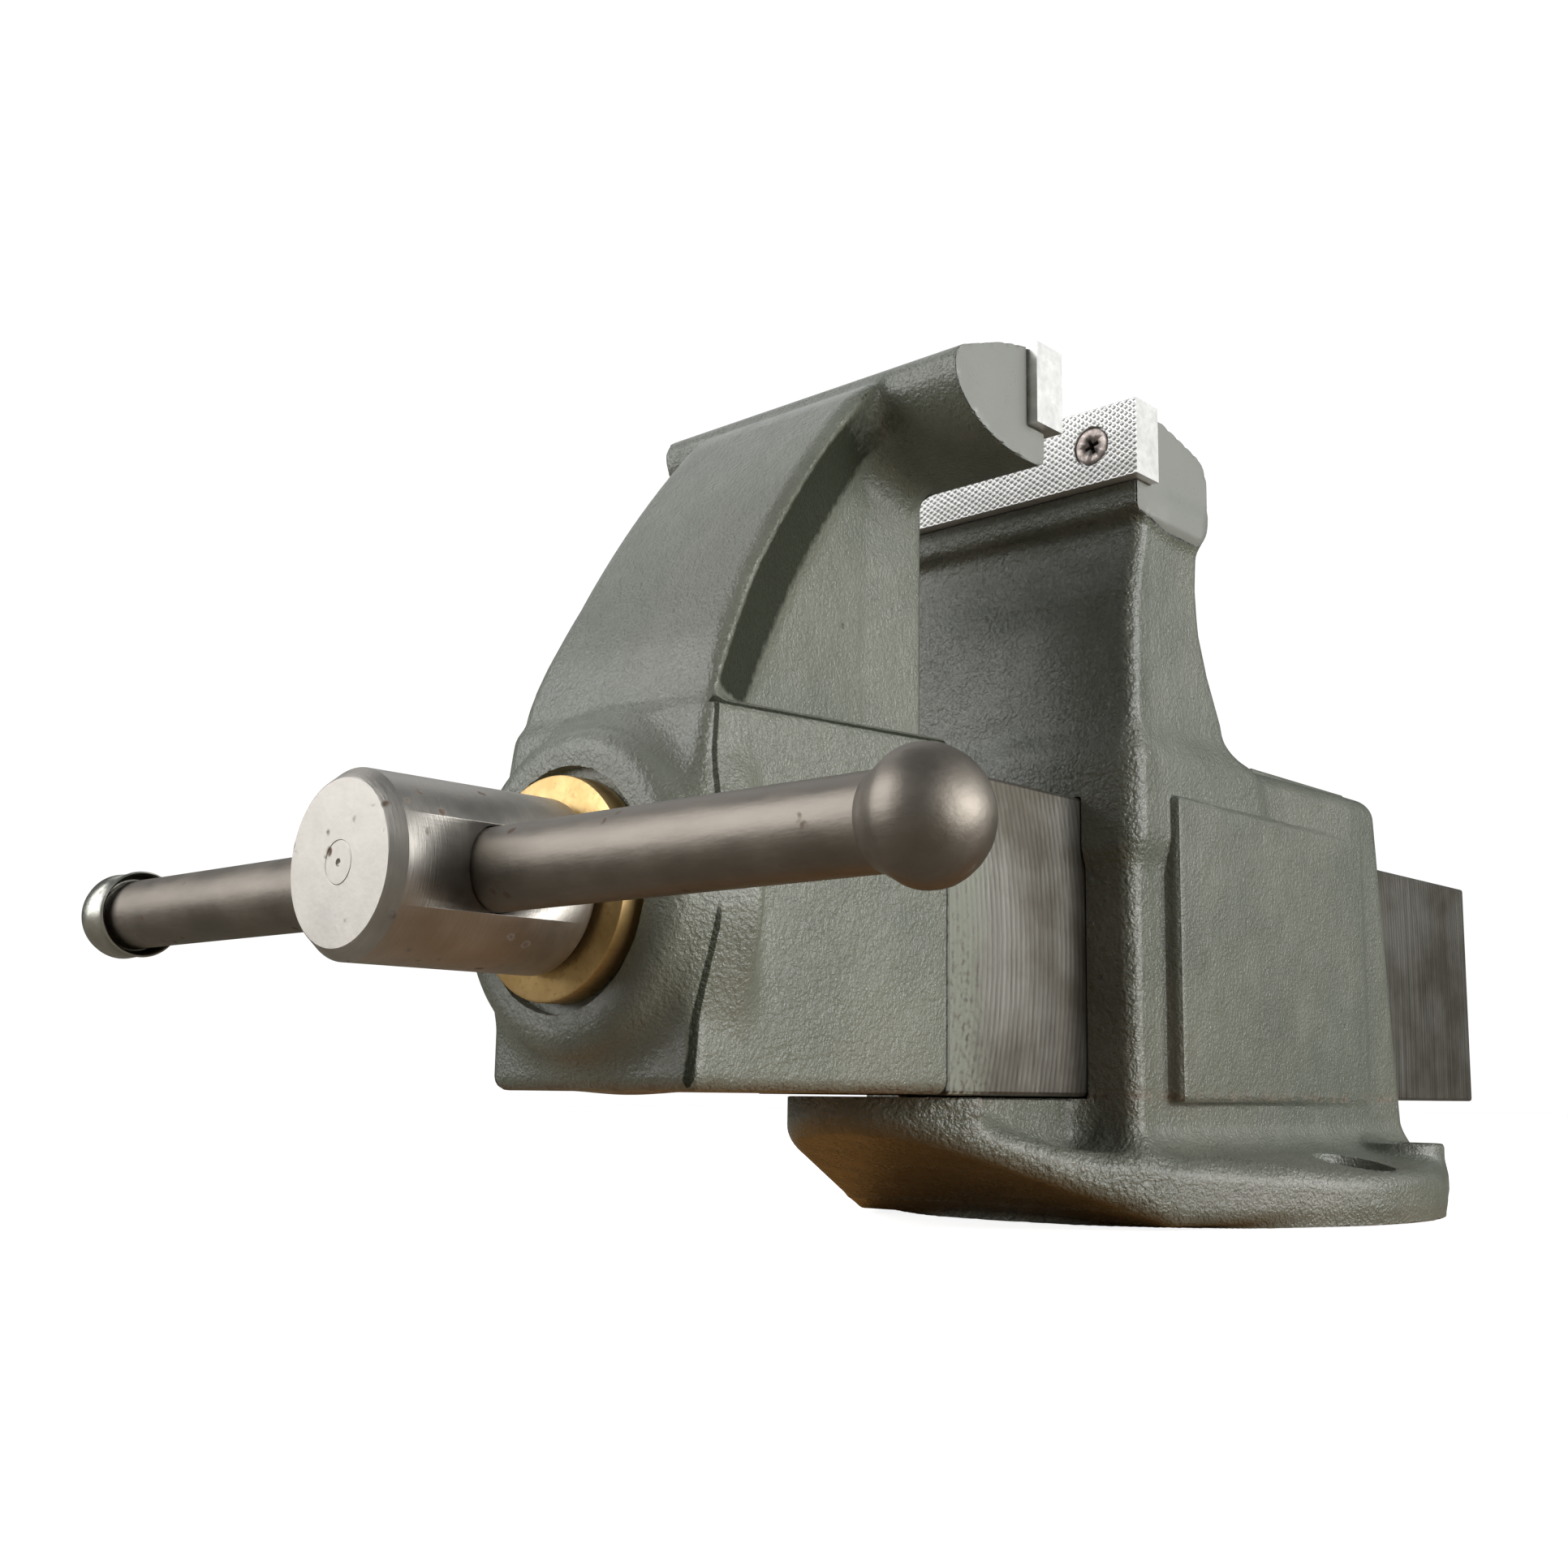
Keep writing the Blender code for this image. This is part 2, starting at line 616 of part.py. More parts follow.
def nut_bolt():
    """The hexagon bolt and washer that hold the nut down, from under the base."""
    head_top = NUT_RECESS_TOP - 0.0025 - 2 * GAP
    head = cylinder("nut_bolt", "Z", (0, NUT_Y, head_top - 0.0075), 0.0075, 0.0104, sides=6)
    as_part(head, BLACK_OXIDE)
    shank = cylinder("nut_bolt_shank", "Z", (0, NUT_Y, head_top - 0.003), 0.0465,
                     NUT_BOLT_RADIUS, sides=24)
    join(head, shank)
    top = NUT_RECESS_TOP - GAP
    bore = NUT_BOLT_RADIUS + 0.0004
    ring = [(bore, top), (0.0135, top), (0.0135, top - 0.0025), (bore, top - 0.0025), (bore, top)]
    washer = turned("nut_bolt_washer", "Z", (0, NUT_Y, 0), ring, 32)
    as_part(washer, STEEL)


def ring_profile(inner, outer, low, high, chamfer):
    """Closed profile of a ring, with its outer edges chamfered."""
    return [(inner, high), (outer - chamfer, high), (outer, high - chamfer), (outer, low + chamfer),
            (outer - chamfer, low), (inner, low), (inner, high)]


def thrust_collar():
    """The bronze collar between the spindle's head and the boss."""
    back = BOSS_FRONT + COUNTERBORE_DEPTH - GAP
    profile = ring_profile(BORE_RADIUS, COLLAR_RADIUS, COLLAR_FRONT, back, 0.0006)
    as_part(turned("thrust_collar", "Y", (0, 0, AXIS_Z), profile, 64), BRONZE)


def retaining_collar():
    """The washer and the pinned collar that draw the front jaw back."""
    washer = ring_profile(BORE_RADIUS, 0.021, FRONT_WALL_BACK + GAP, FRONT_WALL_BACK + 0.0028, 0.0004)
    as_part(turned("retaining_washer", "Y", (0, 0, AXIS_Z), washer, 48), STEEL)
    ring = ring_profile(BORE_RADIUS, 0.020, RETAINER_FRONT, RETAINER_BACK, 0.001)
    collar = turned("retaining_collar", "Y", (0, 0, AXIS_Z), ring, 48)
    as_part(collar, STEEL)
    cut(collar, cross_hole("collar_cross_hole"))
    pin = cylinder("collar_pin", "Z", (0, CROSS_PIN_Y, AXIS_Z - 0.019), 0.038,
                   CROSS_PIN_RADIUS, sides=20)
    as_part(pin, STEEL)
    smooth(bevel(pin, 0.0005, 1))


def cross_hole(name):
    """The hole for the pin through the collar and the spindle."""
    return cylinder(name, "Z", (0, CROSS_PIN_Y, AXIS_Z - 0.024), 0.048,
                    CROSS_PIN_RADIUS + GAP, sides=20)


def spindle_screw():
    """The spindle: bored head, plain journal and threaded length."""
    chamfer = 0.0012
    journal_rear = TENON_FRONT + 0.004
    profile = [(0, SPINDLE_REAR), (THREAD_RADIUS - 0.002, SPINDLE_REAR),
               (THREAD_RADIUS, SPINDLE_REAR - 0.002), (THREAD_RADIUS, journal_rear),
               (SPINDLE_RADIUS, journal_rear), (SPINDLE_RADIUS, HEAD_REAR),
               (HEAD_RADIUS - chamfer, HEAD_REAR), (HEAD_RADIUS, HEAD_REAR - chamfer),
               (HEAD_RADIUS, HEAD_FRONT + chamfer), (HEAD_RADIUS - chamfer, HEAD_FRONT),
               (0.0014, HEAD_FRONT), (0, HEAD_FRONT + 0.0014)]
    spindle = turned("spindle_screw", "Y", (0, 0, AXIS_Z), profile, 64)
    as_part(spindle, STEEL)
    eye = cylinder("handle_hole", "X", (-0.030, HANDLE_Y, AXIS_Z), 0.060, HANDLE_RADIUS + 0.0004)
    cut(spindle, eye, cross_hole("spindle_cross_hole"))


def handle():
    """The sliding rod with a domed cap on each end."""
    depth = 0.018
    left = HANDLE_LEFT + HANDLE_BALL_LENGTH - depth
    right = HANDLE_RIGHT - HANDLE_BALL_LENGTH + depth
    profile = [(0, right), (HANDLE_RADIUS - 0.001, right), (HANDLE_RADIUS, right - 0.001),
               (HANDLE_RADIUS, left + 0.001), (HANDLE_RADIUS - 0.001, left), (0, left)]
    rod = turned("handle_rod", "X", (0, HANDLE_Y, AXIS_Z), profile, 40)
    as_part(rod, DARK_STEEL)
    bore = HANDLE_RADIUS + GAP
    inner = [(HANDLE_BALL_RADIUS, HANDLE_BALL_LENGTH * 0.58), (HANDLE_BALL_RADIUS, 0.007),
             (bore + 0.001, 0), (bore, 0), (bore, depth + GAP), (0, depth + GAP)]
    dome_base = HANDLE_BALL_LENGTH * 0.58
    dome = [(HANDLE_BALL_RADIUS * sin(acos(i / 8)), dome_base + (HANDLE_BALL_LENGTH - dome_base) * i / 8)
            for i in range(8, 0, -1)]
    for name, end, angle in (("handle_ball_left", HANDLE_LEFT + HANDLE_BALL_LENGTH, -pi / 2),
                             ("handle_ball_right", HANDLE_RIGHT - HANDLE_BALL_LENGTH, pi / 2)):
        ball = turned(name, "Z", (0, 0, 0), dome + inner, 40)
        ball.matrix_world = Matrix.Translation((end, HANDLE_Y, AXIS_Z)) @ Matrix.Rotation(angle, 4, "Y")
        as_part(ball, DARK_STEEL)


rear_jaw_body()
front_jaw()
slide_bar()
bar_pins()
insert("front_jaw_insert", FRONT_GRIP_Y, 1)
insert("rear_jaw_insert", REAR_GRIP_Y, -1)
insert_screws("front", FRONT_GRIP_Y, 1)
insert_screws("rear", REAR_GRIP_Y, -1)
screw_nut()
nut_bolt()
thrust_collar()
retaining_collar()
spindle_screw()
handle()
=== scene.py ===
import math

import bmesh
import bpy
import numpy as np
from mathutils import Matrix, Vector


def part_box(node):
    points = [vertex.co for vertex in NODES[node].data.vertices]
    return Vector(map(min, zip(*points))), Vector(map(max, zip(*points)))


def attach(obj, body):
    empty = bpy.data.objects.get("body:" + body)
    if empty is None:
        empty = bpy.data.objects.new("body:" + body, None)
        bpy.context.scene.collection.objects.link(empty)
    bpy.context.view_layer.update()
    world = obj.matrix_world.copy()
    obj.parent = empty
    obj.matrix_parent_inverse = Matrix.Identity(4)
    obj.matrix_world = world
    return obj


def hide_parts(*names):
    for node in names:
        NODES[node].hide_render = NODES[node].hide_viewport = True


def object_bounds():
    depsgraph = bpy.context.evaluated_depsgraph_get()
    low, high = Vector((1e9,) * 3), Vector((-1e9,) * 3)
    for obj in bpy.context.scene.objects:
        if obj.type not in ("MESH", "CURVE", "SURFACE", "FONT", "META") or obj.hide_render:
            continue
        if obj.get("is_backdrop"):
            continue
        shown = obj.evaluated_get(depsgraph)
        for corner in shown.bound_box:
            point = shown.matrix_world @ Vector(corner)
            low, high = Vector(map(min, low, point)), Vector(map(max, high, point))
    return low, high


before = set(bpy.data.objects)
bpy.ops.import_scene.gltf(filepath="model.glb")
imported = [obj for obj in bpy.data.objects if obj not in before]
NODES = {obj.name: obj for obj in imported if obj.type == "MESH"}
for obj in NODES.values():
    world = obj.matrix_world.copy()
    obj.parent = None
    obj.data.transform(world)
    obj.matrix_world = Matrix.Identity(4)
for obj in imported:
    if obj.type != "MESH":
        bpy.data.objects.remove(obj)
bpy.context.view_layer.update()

# The castings are drawn as distance fields in millimetres, then meshed in metres.
MM = 0.001


def box_mm(node):
    """Lowest and highest corner of a CAD node, in millimetres."""
    low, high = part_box(node)
    return np.array(low) / MM, np.array(high) / MM


JAW_LOW, JAW_HIGH = box_mm("front_jaw")
HEAD_LOW, HEAD_HIGH = box_mm("spindle_screw")
ROD_LOW, ROD_HIGH = box_mm("handle_rod")
FRONT_INSERT_LOW = box_mm("front_jaw_insert")[0]
REAR_INSERT_HIGH = box_mm("rear_jaw_insert")[1]
COLLAR_LOW, COLLAR_HIGH = box_mm("thrust_collar")
HEAD_BACK = -296.3
JOURNAL_RADIUS = 12.7
JOURNAL_END = -235.0

AXIS_Z = (ROD_LOW[2] + ROD_HIGH[2]) / 2
HANDLE_Y = (ROD_LOW[1] + ROD_HIGH[1]) / 2
HEAD_RADIUS = 22.6               # the head and the rod look a little fuller than their CAD solids
ROD_RADIUS = 10.1
CASTING_CELL = 1.3               # size of the mesh's cells on the castings
JAW_END = 60.3                   # half width of the cast jaws
SCREW_X, SCREW_Z = 46.0, 252.5   # the insert screws
SCREW_BORE = 3.3
SPINDLE_BORE = JOURNAL_RADIUS + 0.4
BOLT_BORE = 6.5
FIT = 0.3                        # gap between an insert and its seat


# ---------------- distance fields


def length(*parts):
    """Length of a vector given by its parts."""
    return np.sqrt(sum(part * part for part in parts))


def round_all(radius, *fields):
    """The region inside every field, with its edges rounded."""
    shifted = [field + radius for field in fields]
    outside = length(*[np.maximum(field, 0) for field in shifted])
    inside = np.minimum(np.maximum.reduce(shifted), 0)
    return outside + inside - radius


def blend_union(radius, first, *others):
    """The union of fields, with a fillet of one radius wherever two of them meet."""
    total = first
    for other in others:
        corner = length(np.maximum(radius - total, 0), np.maximum(radius - other, 0))
        total = np.maximum(radius, np.minimum(total, other)) - corner
    return total


def carve(field, *tools):
    """Cut the tools out of a field, with sharp edges."""
    for tool in tools:
        field = np.maximum(field, -tool)
    return field


def slab(value, low, high):
    """Distance outside the range from low to high."""
    return np.maximum(low - value, value - high)


def box_field(p, low, high, radius=0.5):
    """A box with rounded edges."""
    return round_all(radius, *[slab(p[i], low[i], high[i]) for i in range(3)])


def rod_field(p, axis, centre, radius, low, high, edge=0.0):
    """A cylinder along an axis, between two positions on it."""
    a, b = [i for i in range(3) if i != axis]
    round_part = length(p[a] - centre[0], p[b] - centre[1]) - radius
    return round_all(edge, round_part, slab(p[axis], low, high))


def polygon_field(a, b, outline):
    """Signed distance to a closed outline in a plane."""
    nearest = np.full(a.shape, np.inf)
    sign = np.ones(a.shape)
    for (ax, ay), (bx, by) in zip(outline, outline[1:] + outline[:1]):
        ex, ey = bx - ax, by - ay
        wx, wy = a - ax, b - ay
        t = np.clip((wx * ex + wy * ey) / (ex * ex + ey * ey), 0, 1)
        nearest = np.minimum(nearest, (wx - ex * t) ** 2 + (wy - ey * t) ** 2)
        above, below = b >= ay, b < by
        left = ex * wy > ey * wx
        flip = (above & below & left) | (~above & ~below & ~left)
        sign[flip] *= -1
    return sign * np.sqrt(nearest)


def disc_hull_field(x, y, near_radius, far_radius, far_y):
    """The hull of a disc at the origin and a disc at (0, far_y), with far_y below zero."""
    x = np.abs(x)
    along = -y
    gap = np.maximum(-far_y, 1e-6)
    slope = np.clip((near_radius - far_radius) / gap, -0.999, 0.999)
    run = np.sqrt(1 - slope * slope)
    k = -slope * x + run * along
    near_cap = length(x, along) - near_radius
    far_cap = length(x, along - gap) - far_radius
    side = x * run + along * slope - near_radius
    return np.where(k < 0, near_cap, np.where(k > run * gap, far_cap, side))


# ---------------- meshing of fields


def sample(field, points):
    """Evaluate a field at many points, a block at a time."""
    values = np.empty(len(points))
    for start in range(0, len(points), 120000):
        part = points[start:start + 120000]
        values[start:start + 120000] = field((part[:, 0], part[:, 1], part[:, 2]))
    return values


def sample_grid(field, low, cell, counts, block=8):
    """Evaluate a field on a grid. Only the blocks near the surface get exact values."""
    shape = counts // block
    steps = [low[i] + cell * (np.arange(shape[i]) * block + block / 2) for i in range(3)]
    centres = np.stack(np.meshgrid(*steps, indexing="ij"), -1).reshape(-1, 3)
    coarse = sample(field, centres).reshape(shape)
    grid = np.empty(counts + 1)
    owner = [np.minimum(np.arange(counts[i] + 1) // block, shape[i] - 1) for i in range(3)]
    grid[:] = np.sign(coarse)[np.ix_(*owner)] * 1000.0
    near = np.zeros(counts + 1, bool)
    for i, j, k in np.argwhere(np.abs(coarse) < block * cell * 1.25 + 2.0):
        near[i * block:(i + 1) * block + 1, j * block:(j + 1) * block + 1,
             k * block:(k + 1) * block + 1] = True
    index = np.argwhere(near)
    grid[near] = sample(field, low + index * cell)
    return grid


def crossings(grid, axis):
    """Grid edges along an axis that the surface crosses: their index, place and direction."""
    ahead = [slice(None)] * 3
    behind = [slice(None)] * 3
    ahead[axis] = slice(1, None)
    behind[axis] = slice(None, -1)
    first, second = grid[tuple(behind)], grid[tuple(ahead)]
    index = np.argwhere((first < 0) != (second < 0))
    a = first[tuple(index.T)]
    b = second[tuple(index.T)]
    return index, a / (a - b), a < 0


def gradient(field, points, step=0.02):
    """Unit gradient of a field."""
    parts = []
    for i in range(3):
        shift = np.zeros(3)
        shift[i] = step
        parts.append(sample(field, points + shift) - sample(field, points - shift))
    grad = np.stack(parts, 1)
    return grad / np.maximum(np.linalg.norm(grad, axis=1, keepdims=True), 1e-9)


def contour(field, low, high, cell):
    """Mesh a field by dual contouring, which keeps its flat faces and sharp edges."""
    low = np.array(low, float) - 1.5 * cell
    counts = (np.ceil((np.array(high, float) + 1.5 * cell - low) / cell / 8) * 8).astype(int)
    grid = sample_grid(field, low, cell, counts)
    stride = np.array([counts[1] * counts[2], counts[2], 1])
    edges = []
    for axis in range(3):
        index, part, enters = crossings(grid, axis)
        place = low + index * cell
        place[:, axis] += part * cell
        sides = [i for i in range(3) if i != axis]
        corners = []
        for du, dv in ((-1, -1), (0, -1), (0, 0), (-1, 0)):
            offset = index.copy()
            offset[:, sides[0]] += du
            offset[:, sides[1]] += dv
            corners.append(offset @ stride)
        quads = np.stack(corners, 1)
        turn = enters if axis != 1 else ~enters
        quads[~turn] = quads[~turn][:, ::-1]
        edges.append((place, quads))
    places = np.concatenate([place for place, quads in edges])
    quads = np.concatenate([quads for place, quads in edges])
    normals = gradient(field, places)
    used, compact = np.unique(quads.ravel(), return_inverse=True)
    compact = compact.reshape(-1, 4)
    total = len(used)

    def gather(values):
        return sum(np.bincount(compact[:, i], values, total) for i in range(4))

    count = gather(np.ones(len(places)))
    mean = np.stack([gather(places[:, i]) for i in range(3)], 1) / count[:, None]
    push = (normals * places).sum(1)
    matrix = np.empty((total, 3, 3))
    for i in range(3):
        for j in range(3):
            matrix[:, i, j] = gather(normals[:, i] * normals[:, j])
    right = np.stack([gather(normals[:, i] * push) for i in range(3)], 1)
    right -= np.einsum("nij,nj->ni", matrix, mean)
    matrix += np.eye(3) * 0.03
    shift = np.linalg.solve(matrix, right[:, :, None])[:, :, 0]
    cells = np.stack(np.unravel_index(used, tuple(counts)), 1)
    corner = low + cells * cell
    verts = np.clip(mean + shift, corner, corner + cell)
    return verts, compact


def add_object(name, mesh, material, sharp):
    """An object that shows a mesh, smooth but for its sharp edges."""
    mesh.shade_smooth()
    mesh.set_sharp_from_angle(angle=math.radians(sharp))
    mesh.materials.append(material)
    obj = bpy.data.objects.new(name, mesh)
    bpy.context.scene.collection.objects.link(obj)
    return obj


def from_quads(name, verts, faces, material):
    """Turn arrays of points in millimetres and of faces into an object."""
    mesh = bpy.data.meshes.new(name)
    mesh.vertices.add(len(verts))
    mesh.vertices.foreach_set("co", (verts * MM).ravel())
    mesh.loops.add(faces.size)
    mesh.loops.foreach_set("vertex_index", faces.ravel().astype(np.int32))
    mesh.polygons.add(len(faces))
    width = faces.shape[1]
    mesh.polygons.foreach_set("loop_start", np.arange(0, faces.size, width, dtype=np.int32))
    mesh.update(calc_edges=True)
    mesh.validate()
    return add_object(name, mesh, material, 38)


# ---------------- the front jaw casting

HORN_HALF = 35.5
HORN_CENTRE = (63.2, -0.1)
HORN_RADIUS = 368.3
RIDGE_DEPTH = 2.0
COVE_DEPTH = 29.0
COVE_POWER = 1.45
BOX_HALF = 39.5
BOX_FRONT = JAW_LOW[1] + 10.0
BOX_REAR = -178.5
BOX_TOP = 139.8
BOX_TOP_Y = -278.0               # where the sloping top is at that height
BOX_RISE = 0.046
WEB_REAR = -162.0
SEAT_Z = FRONT_INSERT_LOW[2] - FIT


def arc(centre, radii, start, end, steps):
    """Points on an elliptic arc, from one angle in degrees to another."""
    angles = np.radians(np.linspace(start, end, steps + 1))
    return [(centre[0] + radii[0] * math.cos(a), centre[1] + radii[1] * math.sin(a)) for a in angles]


def front_head_outline():
    """Side view of the front jaw: crown, nose, belly, lip and insert seat."""
    seat_y = FRONT_INSERT_LOW[1] - FIT
    outline = [(seat_y, SEAT_Z), (seat_y, 263.6), (-173.5, 262.4), (-181.7, 260.2)]
    outline += arc((-195.2, 248.0), (6.8, 6.6), 110, 180, 5)
    outline += arc((-165.2, 247.0), (36.8, 19.2), 180, 270, 14)[1:]
    outline += [(-161.0, 227.9), (-159.2, 228.7), (JAW_HIGH[1], 230.4), (JAW_HIGH[1], SEAT_Z)]
    return outline


def front_jaw_field(p):
    """The moving casting: box, boss, swept horn with its web, and jaw."""
    x, y, z = p
    ax = np.abs(x)
    depth = HORN_RADIUS - length(y - HORN_CENTRE[0], z - HORN_CENTRE[1])
    front = BOX_FRONT - y

    # The box over the end of the slide.
    shell = round_all(4.0, ax - BOX_HALF, round_all(9.0, front, -depth - 0.5), JAW_LOW[2] - z,
                      z - BOX_TOP - BOX_RISE * (y - BOX_TOP_Y))
    shell = round_all(1.0, shell, y - BOX_REAR)

    # The horn: a ridge that sweeps up to the jaw, with a narrow web behind it and coves on its flanks.
    half = 16.5 + 0.12 * np.maximum(-190.0 - y, 0)
    hollow = np.clip((COVE_DEPTH - depth) / (COVE_DEPTH - RIDGE_DEPTH), 0, 1)
    ridge = HORN_HALF + 3.6 * np.clip((178.0 - z) / 36.0, 0, 1)
    reach = half + (ridge - half) * hollow ** COVE_POWER
    fall = COVE_POWER * (ridge - half) * hollow ** (COVE_POWER - 1) / (COVE_DEPTH - RIDGE_DEPTH)
    flank = (ax - reach) / np.sqrt(1 + fall * fall)
    crown = -0.425 * (y + 199.5) + 0.905 * (z - 250.0)
    horn = round_all(4.0, round_all(12.0, -depth, front), flank)
    horn = round_all(3.0, horn, 110.0 - z, crown, z - 252.0, y - WEB_REAR)

    # The jaw, whose fillet to the horn tightens towards the crown and the lip.
    head = round_all(0.7, polygon_field(y, z, front_head_outline()), ax - JAW_END)
    tight = np.clip((252.0 - z) / 18.0, 0.2, 1.0) * np.clip((-158.0 - y) / 12.0, 0.38, 1.0)
    upper = blend_union(12.0 * tight, horn, head)
    body = blend_union(3.0, shell, upper)

    # The boss around the spindle, wider towards the box.
    boss_radius = 41.5 + 0.28 * (y - JAW_LOW[1])
    radial = (length(x, z - AXIS_Z) - boss_radius) * 0.96
    boss = round_all(5.0, radial, JAW_LOW[1] - y, y + 262.0)
    body = blend_union(7.0, body, boss)

    # The collar's seat, the spindle's bore, the room behind it and the insert screws.
    holes = [rod_field(p, 1, (0, AXIS_Z), 32.0, -300.0, JAW_LOW[1] + 3.5),
             rod_field(p, 1, (0, AXIS_Z), SPINDLE_BORE, -300.0, -250.0),
             rod_field(p, 1, (0, AXIS_Z), 24.0, -262.0, -232.0),
             box_field(p, (-30.0, -238.0, 56.0), (30.0, -170.0, 126.0), 2.0)]
    for side in (-1, 1):
        holes.append(rod_field(p, 1, (side * SCREW_X, SCREW_Z), SCREW_BORE, -181.0, -160.0))
    return carve(body, *holes)


# ---------------- the rear jaw casting

FLANGE_RADIUS = 101.5
NOSE_RADIUS = 42.0
NOSE_Y = -142.0
PROW_START = 104.0
FLANGE_TOP = 17.0
LEDGE_HALF = 34.0
LEDGE_Z = 39.8
TUNNEL = ((-38.5, -260.0, LEDGE_Z), (38.5, 160.0, 136.5))
HOUSING_FRONT = -105.6
HOUSING_TOP = 155.5
FRONT_BOLT = (84.0, -14.0)
REAR_BOLT = (77.0, 42.0)
LUG_RADIUS = 14.0
SPOTFACE_RADIUS = 13.5
NUT_Y = -44.0


def rear_head_outline():
    """Side view of the rear jaw: insert seat, lip, underside and rounded back."""
    seat_y = REAR_INSERT_HIGH[1] + FIT
    lip_y = HOUSING_FRONT - 0.6
    outline = [(seat_y, SEAT_Z), (lip_y, SEAT_Z), (lip_y, 232.0)]
    outline += arc((lip_y + 3.0, 232.0), (3.0, 3.0), 180, 270, 4)[1:]
    outline += arc((-69.5, 237.4), (9.0, 9.0), 270, 360, 7)
    outline += arc((-69.5, 249.3), (9.0, 9.0), 0, 72, 6)
    outline += [(-80.0, 261.1), (-90.3, 263.4), (seat_y, 264.0)]
    return outline


def neck_outline():
    """Side view of the column, set back a little under the rear jaw's lip."""
    front = HOUSING_FRONT + 0.8
    outline = [(front + 3.6, 222.0), (front + 2.4, 213.0), (front + 0.6, 204.0), (front, 195.0)]
    outline += [(front, 120.0), (-20.0, 120.0), (-30.0, 152.0)]
    outline += arc((-22.0, 172.0), (24.0, 20.0), 245, 190, 6)
    outline += [(-54.0, 184.0), (-59.0, 197.0), (-61.5, 212.0), (-62.5, 238.0), (front + 3.6, 238.0)]
    return outline


def base_field(x, y, z, beside):
    """The flange, and the prow that rises from it to the nose under the slide."""
    plan = disc_hull_field(x, y, FLANGE_RADIUS, NOSE_RADIUS, NOSE_Y)
    forward = np.maximum(-y - PROW_START, 0)
    swell = 0.19 * np.clip(34.0 - beside, 0, 34.0) * np.clip(1 - forward / 40, 0, 1)
    top = z - FLANGE_TOP - 0.29 * forward - swell
    sides = LEDGE_HALF + 10.0 * np.clip((-157.0 - y) / 8.0, 0, 1)
    oval = length(x, np.maximum(slab(y, NOSE_Y, -70.0), 0)) - NOSE_RADIUS - 1.2
    ledge = np.maximum(oval, np.abs(x) - sides)
    ledge = round_all(1.5, ledge, z - LEDGE_Z)
    upper = blend_union(6.0, top * 0.95, ledge)
    rim = np.clip(5.5 - (z - 33.0) * 1.4, 1.3, 5.5)
    ramp = (1.0 + 0.335 * np.maximum(-y - 97.0, 0) - z) * 0.948
    foot = np.maximum(length(x, y) - FLANGE_RADIUS, -z)
    block = round_all(rim, plan, upper)
    return blend_union(2.0, round_all(5.0, block, ramp), round_all(1.5, foot, block))


def rear_body_field(p):
    """The fixed casting: base, housing with its tunnel, column, jaw, panels and pads."""
    x, y, z = p
    ax = np.abs(x)
    # The housing around the slide, wider to the rear, with a leaning back.
    half = 56.2 + 6.1 * np.clip((y - HOUSING_FRONT) / 143.6, 0, 1)
    back = y - 86.5 + 0.125 * z
    front = HOUSING_FRONT - y
    beside = np.maximum.reduce([ax - half, back, front])
    housing = round_all(8.0, round_all(5.0, round_all(12.0, ax - half, back), front), z - HOUSING_TOP)
    housing = np.maximum(housing, 12.0 - z)

    # The column and the jaw on top of it.
    flare = 57.0 + 1.6 * np.clip((z - 196.0) / 30.0, 0, 1) ** 2
    neck = round_all(5.0, polygon_field(y, z, neck_outline()), ax - flare)
    head = round_all(0.7, polygon_field(y, z, rear_head_outline()), ax - JAW_END)

    body = blend_union(9.0, base_field(x, y, z, beside), housing, neck)
    body = blend_union(3.5 + 3.5 * np.clip((y + 98.0) / 10.0, 0, 1), body, head)

    # The anvil pad, the plain panel on each side and the rear bolts' lugs.
    pad = round_all(1.2, slab(x, -50.0, 50.0), slab(y, -14.0, 61.0), slab(z, 140.0, 158.5))
    panel = round_all(2.2, ax - 62.8, slab(y, -88.0, 47.0), slab(z, 38.8, 137.2))
    body = blend_union(1.5, body, pad, panel)
    for side in (-1, 1):
        lug = rod_field(p, 2, (side * REAR_BOLT[0], REAR_BOLT[1]), LUG_RADIUS, 8.0, 25.0, 1.5)
        body = blend_union(4.0, body, lug)

    # The slide's tunnel, the nut's bolt with its head and keyway, the flange bolts and the insert screws.
    holes = [box_field(p, *TUNNEL, 0.3),
             rod_field(p, 2, (0, NUT_Y), 15.0, -9.0, 16.0),
             rod_field(p, 2, (0, NUT_Y), 6.4, -9.0, 45.0),
             box_field(p, (-8.3, NUT_Y - 18.3, 29.7), (8.3, NUT_Y + 18.3, 45.0), 0.3)]
    for side in (-1, 1):
        front_bolt = (side * FRONT_BOLT[0], FRONT_BOLT[1])
        rear_bolt = (side * REAR_BOLT[0], REAR_BOLT[1])
        holes.append(rod_field(p, 2, front_bolt, SPOTFACE_RADIUS, 16.6, 40.0, 0.6))
        holes.append(rod_field(p, 2, front_bolt, BOLT_BORE, -9.0, 40.0))
        holes.append(rod_field(p, 2, rear_bolt, BOLT_BORE, -9.0, 40.0))
        holes.append(rod_field(p, 1, (side * SCREW_X, SCREW_Z), SCREW_BORE, -99.0, -83.0))
    return carve(body, *holes)


# ---------------- other shapes


def from_bmesh(name, bm, material, sharp=35):
    """Turn a bmesh in millimetres into an object."""
    bmesh.ops.remove_doubles(bm, verts=bm.verts[:], dist=1e-4)
    bmesh.ops.recalc_face_normals(bm, faces=bm.faces[:])
    bmesh.ops.scale(bm, vec=(MM, MM, MM), verts=bm.verts[:])
    mesh = bpy.data.meshes.new(name)
    bm.to_mesh(mesh)
    bm.free()
    return add_object(name, mesh, material, sharp)


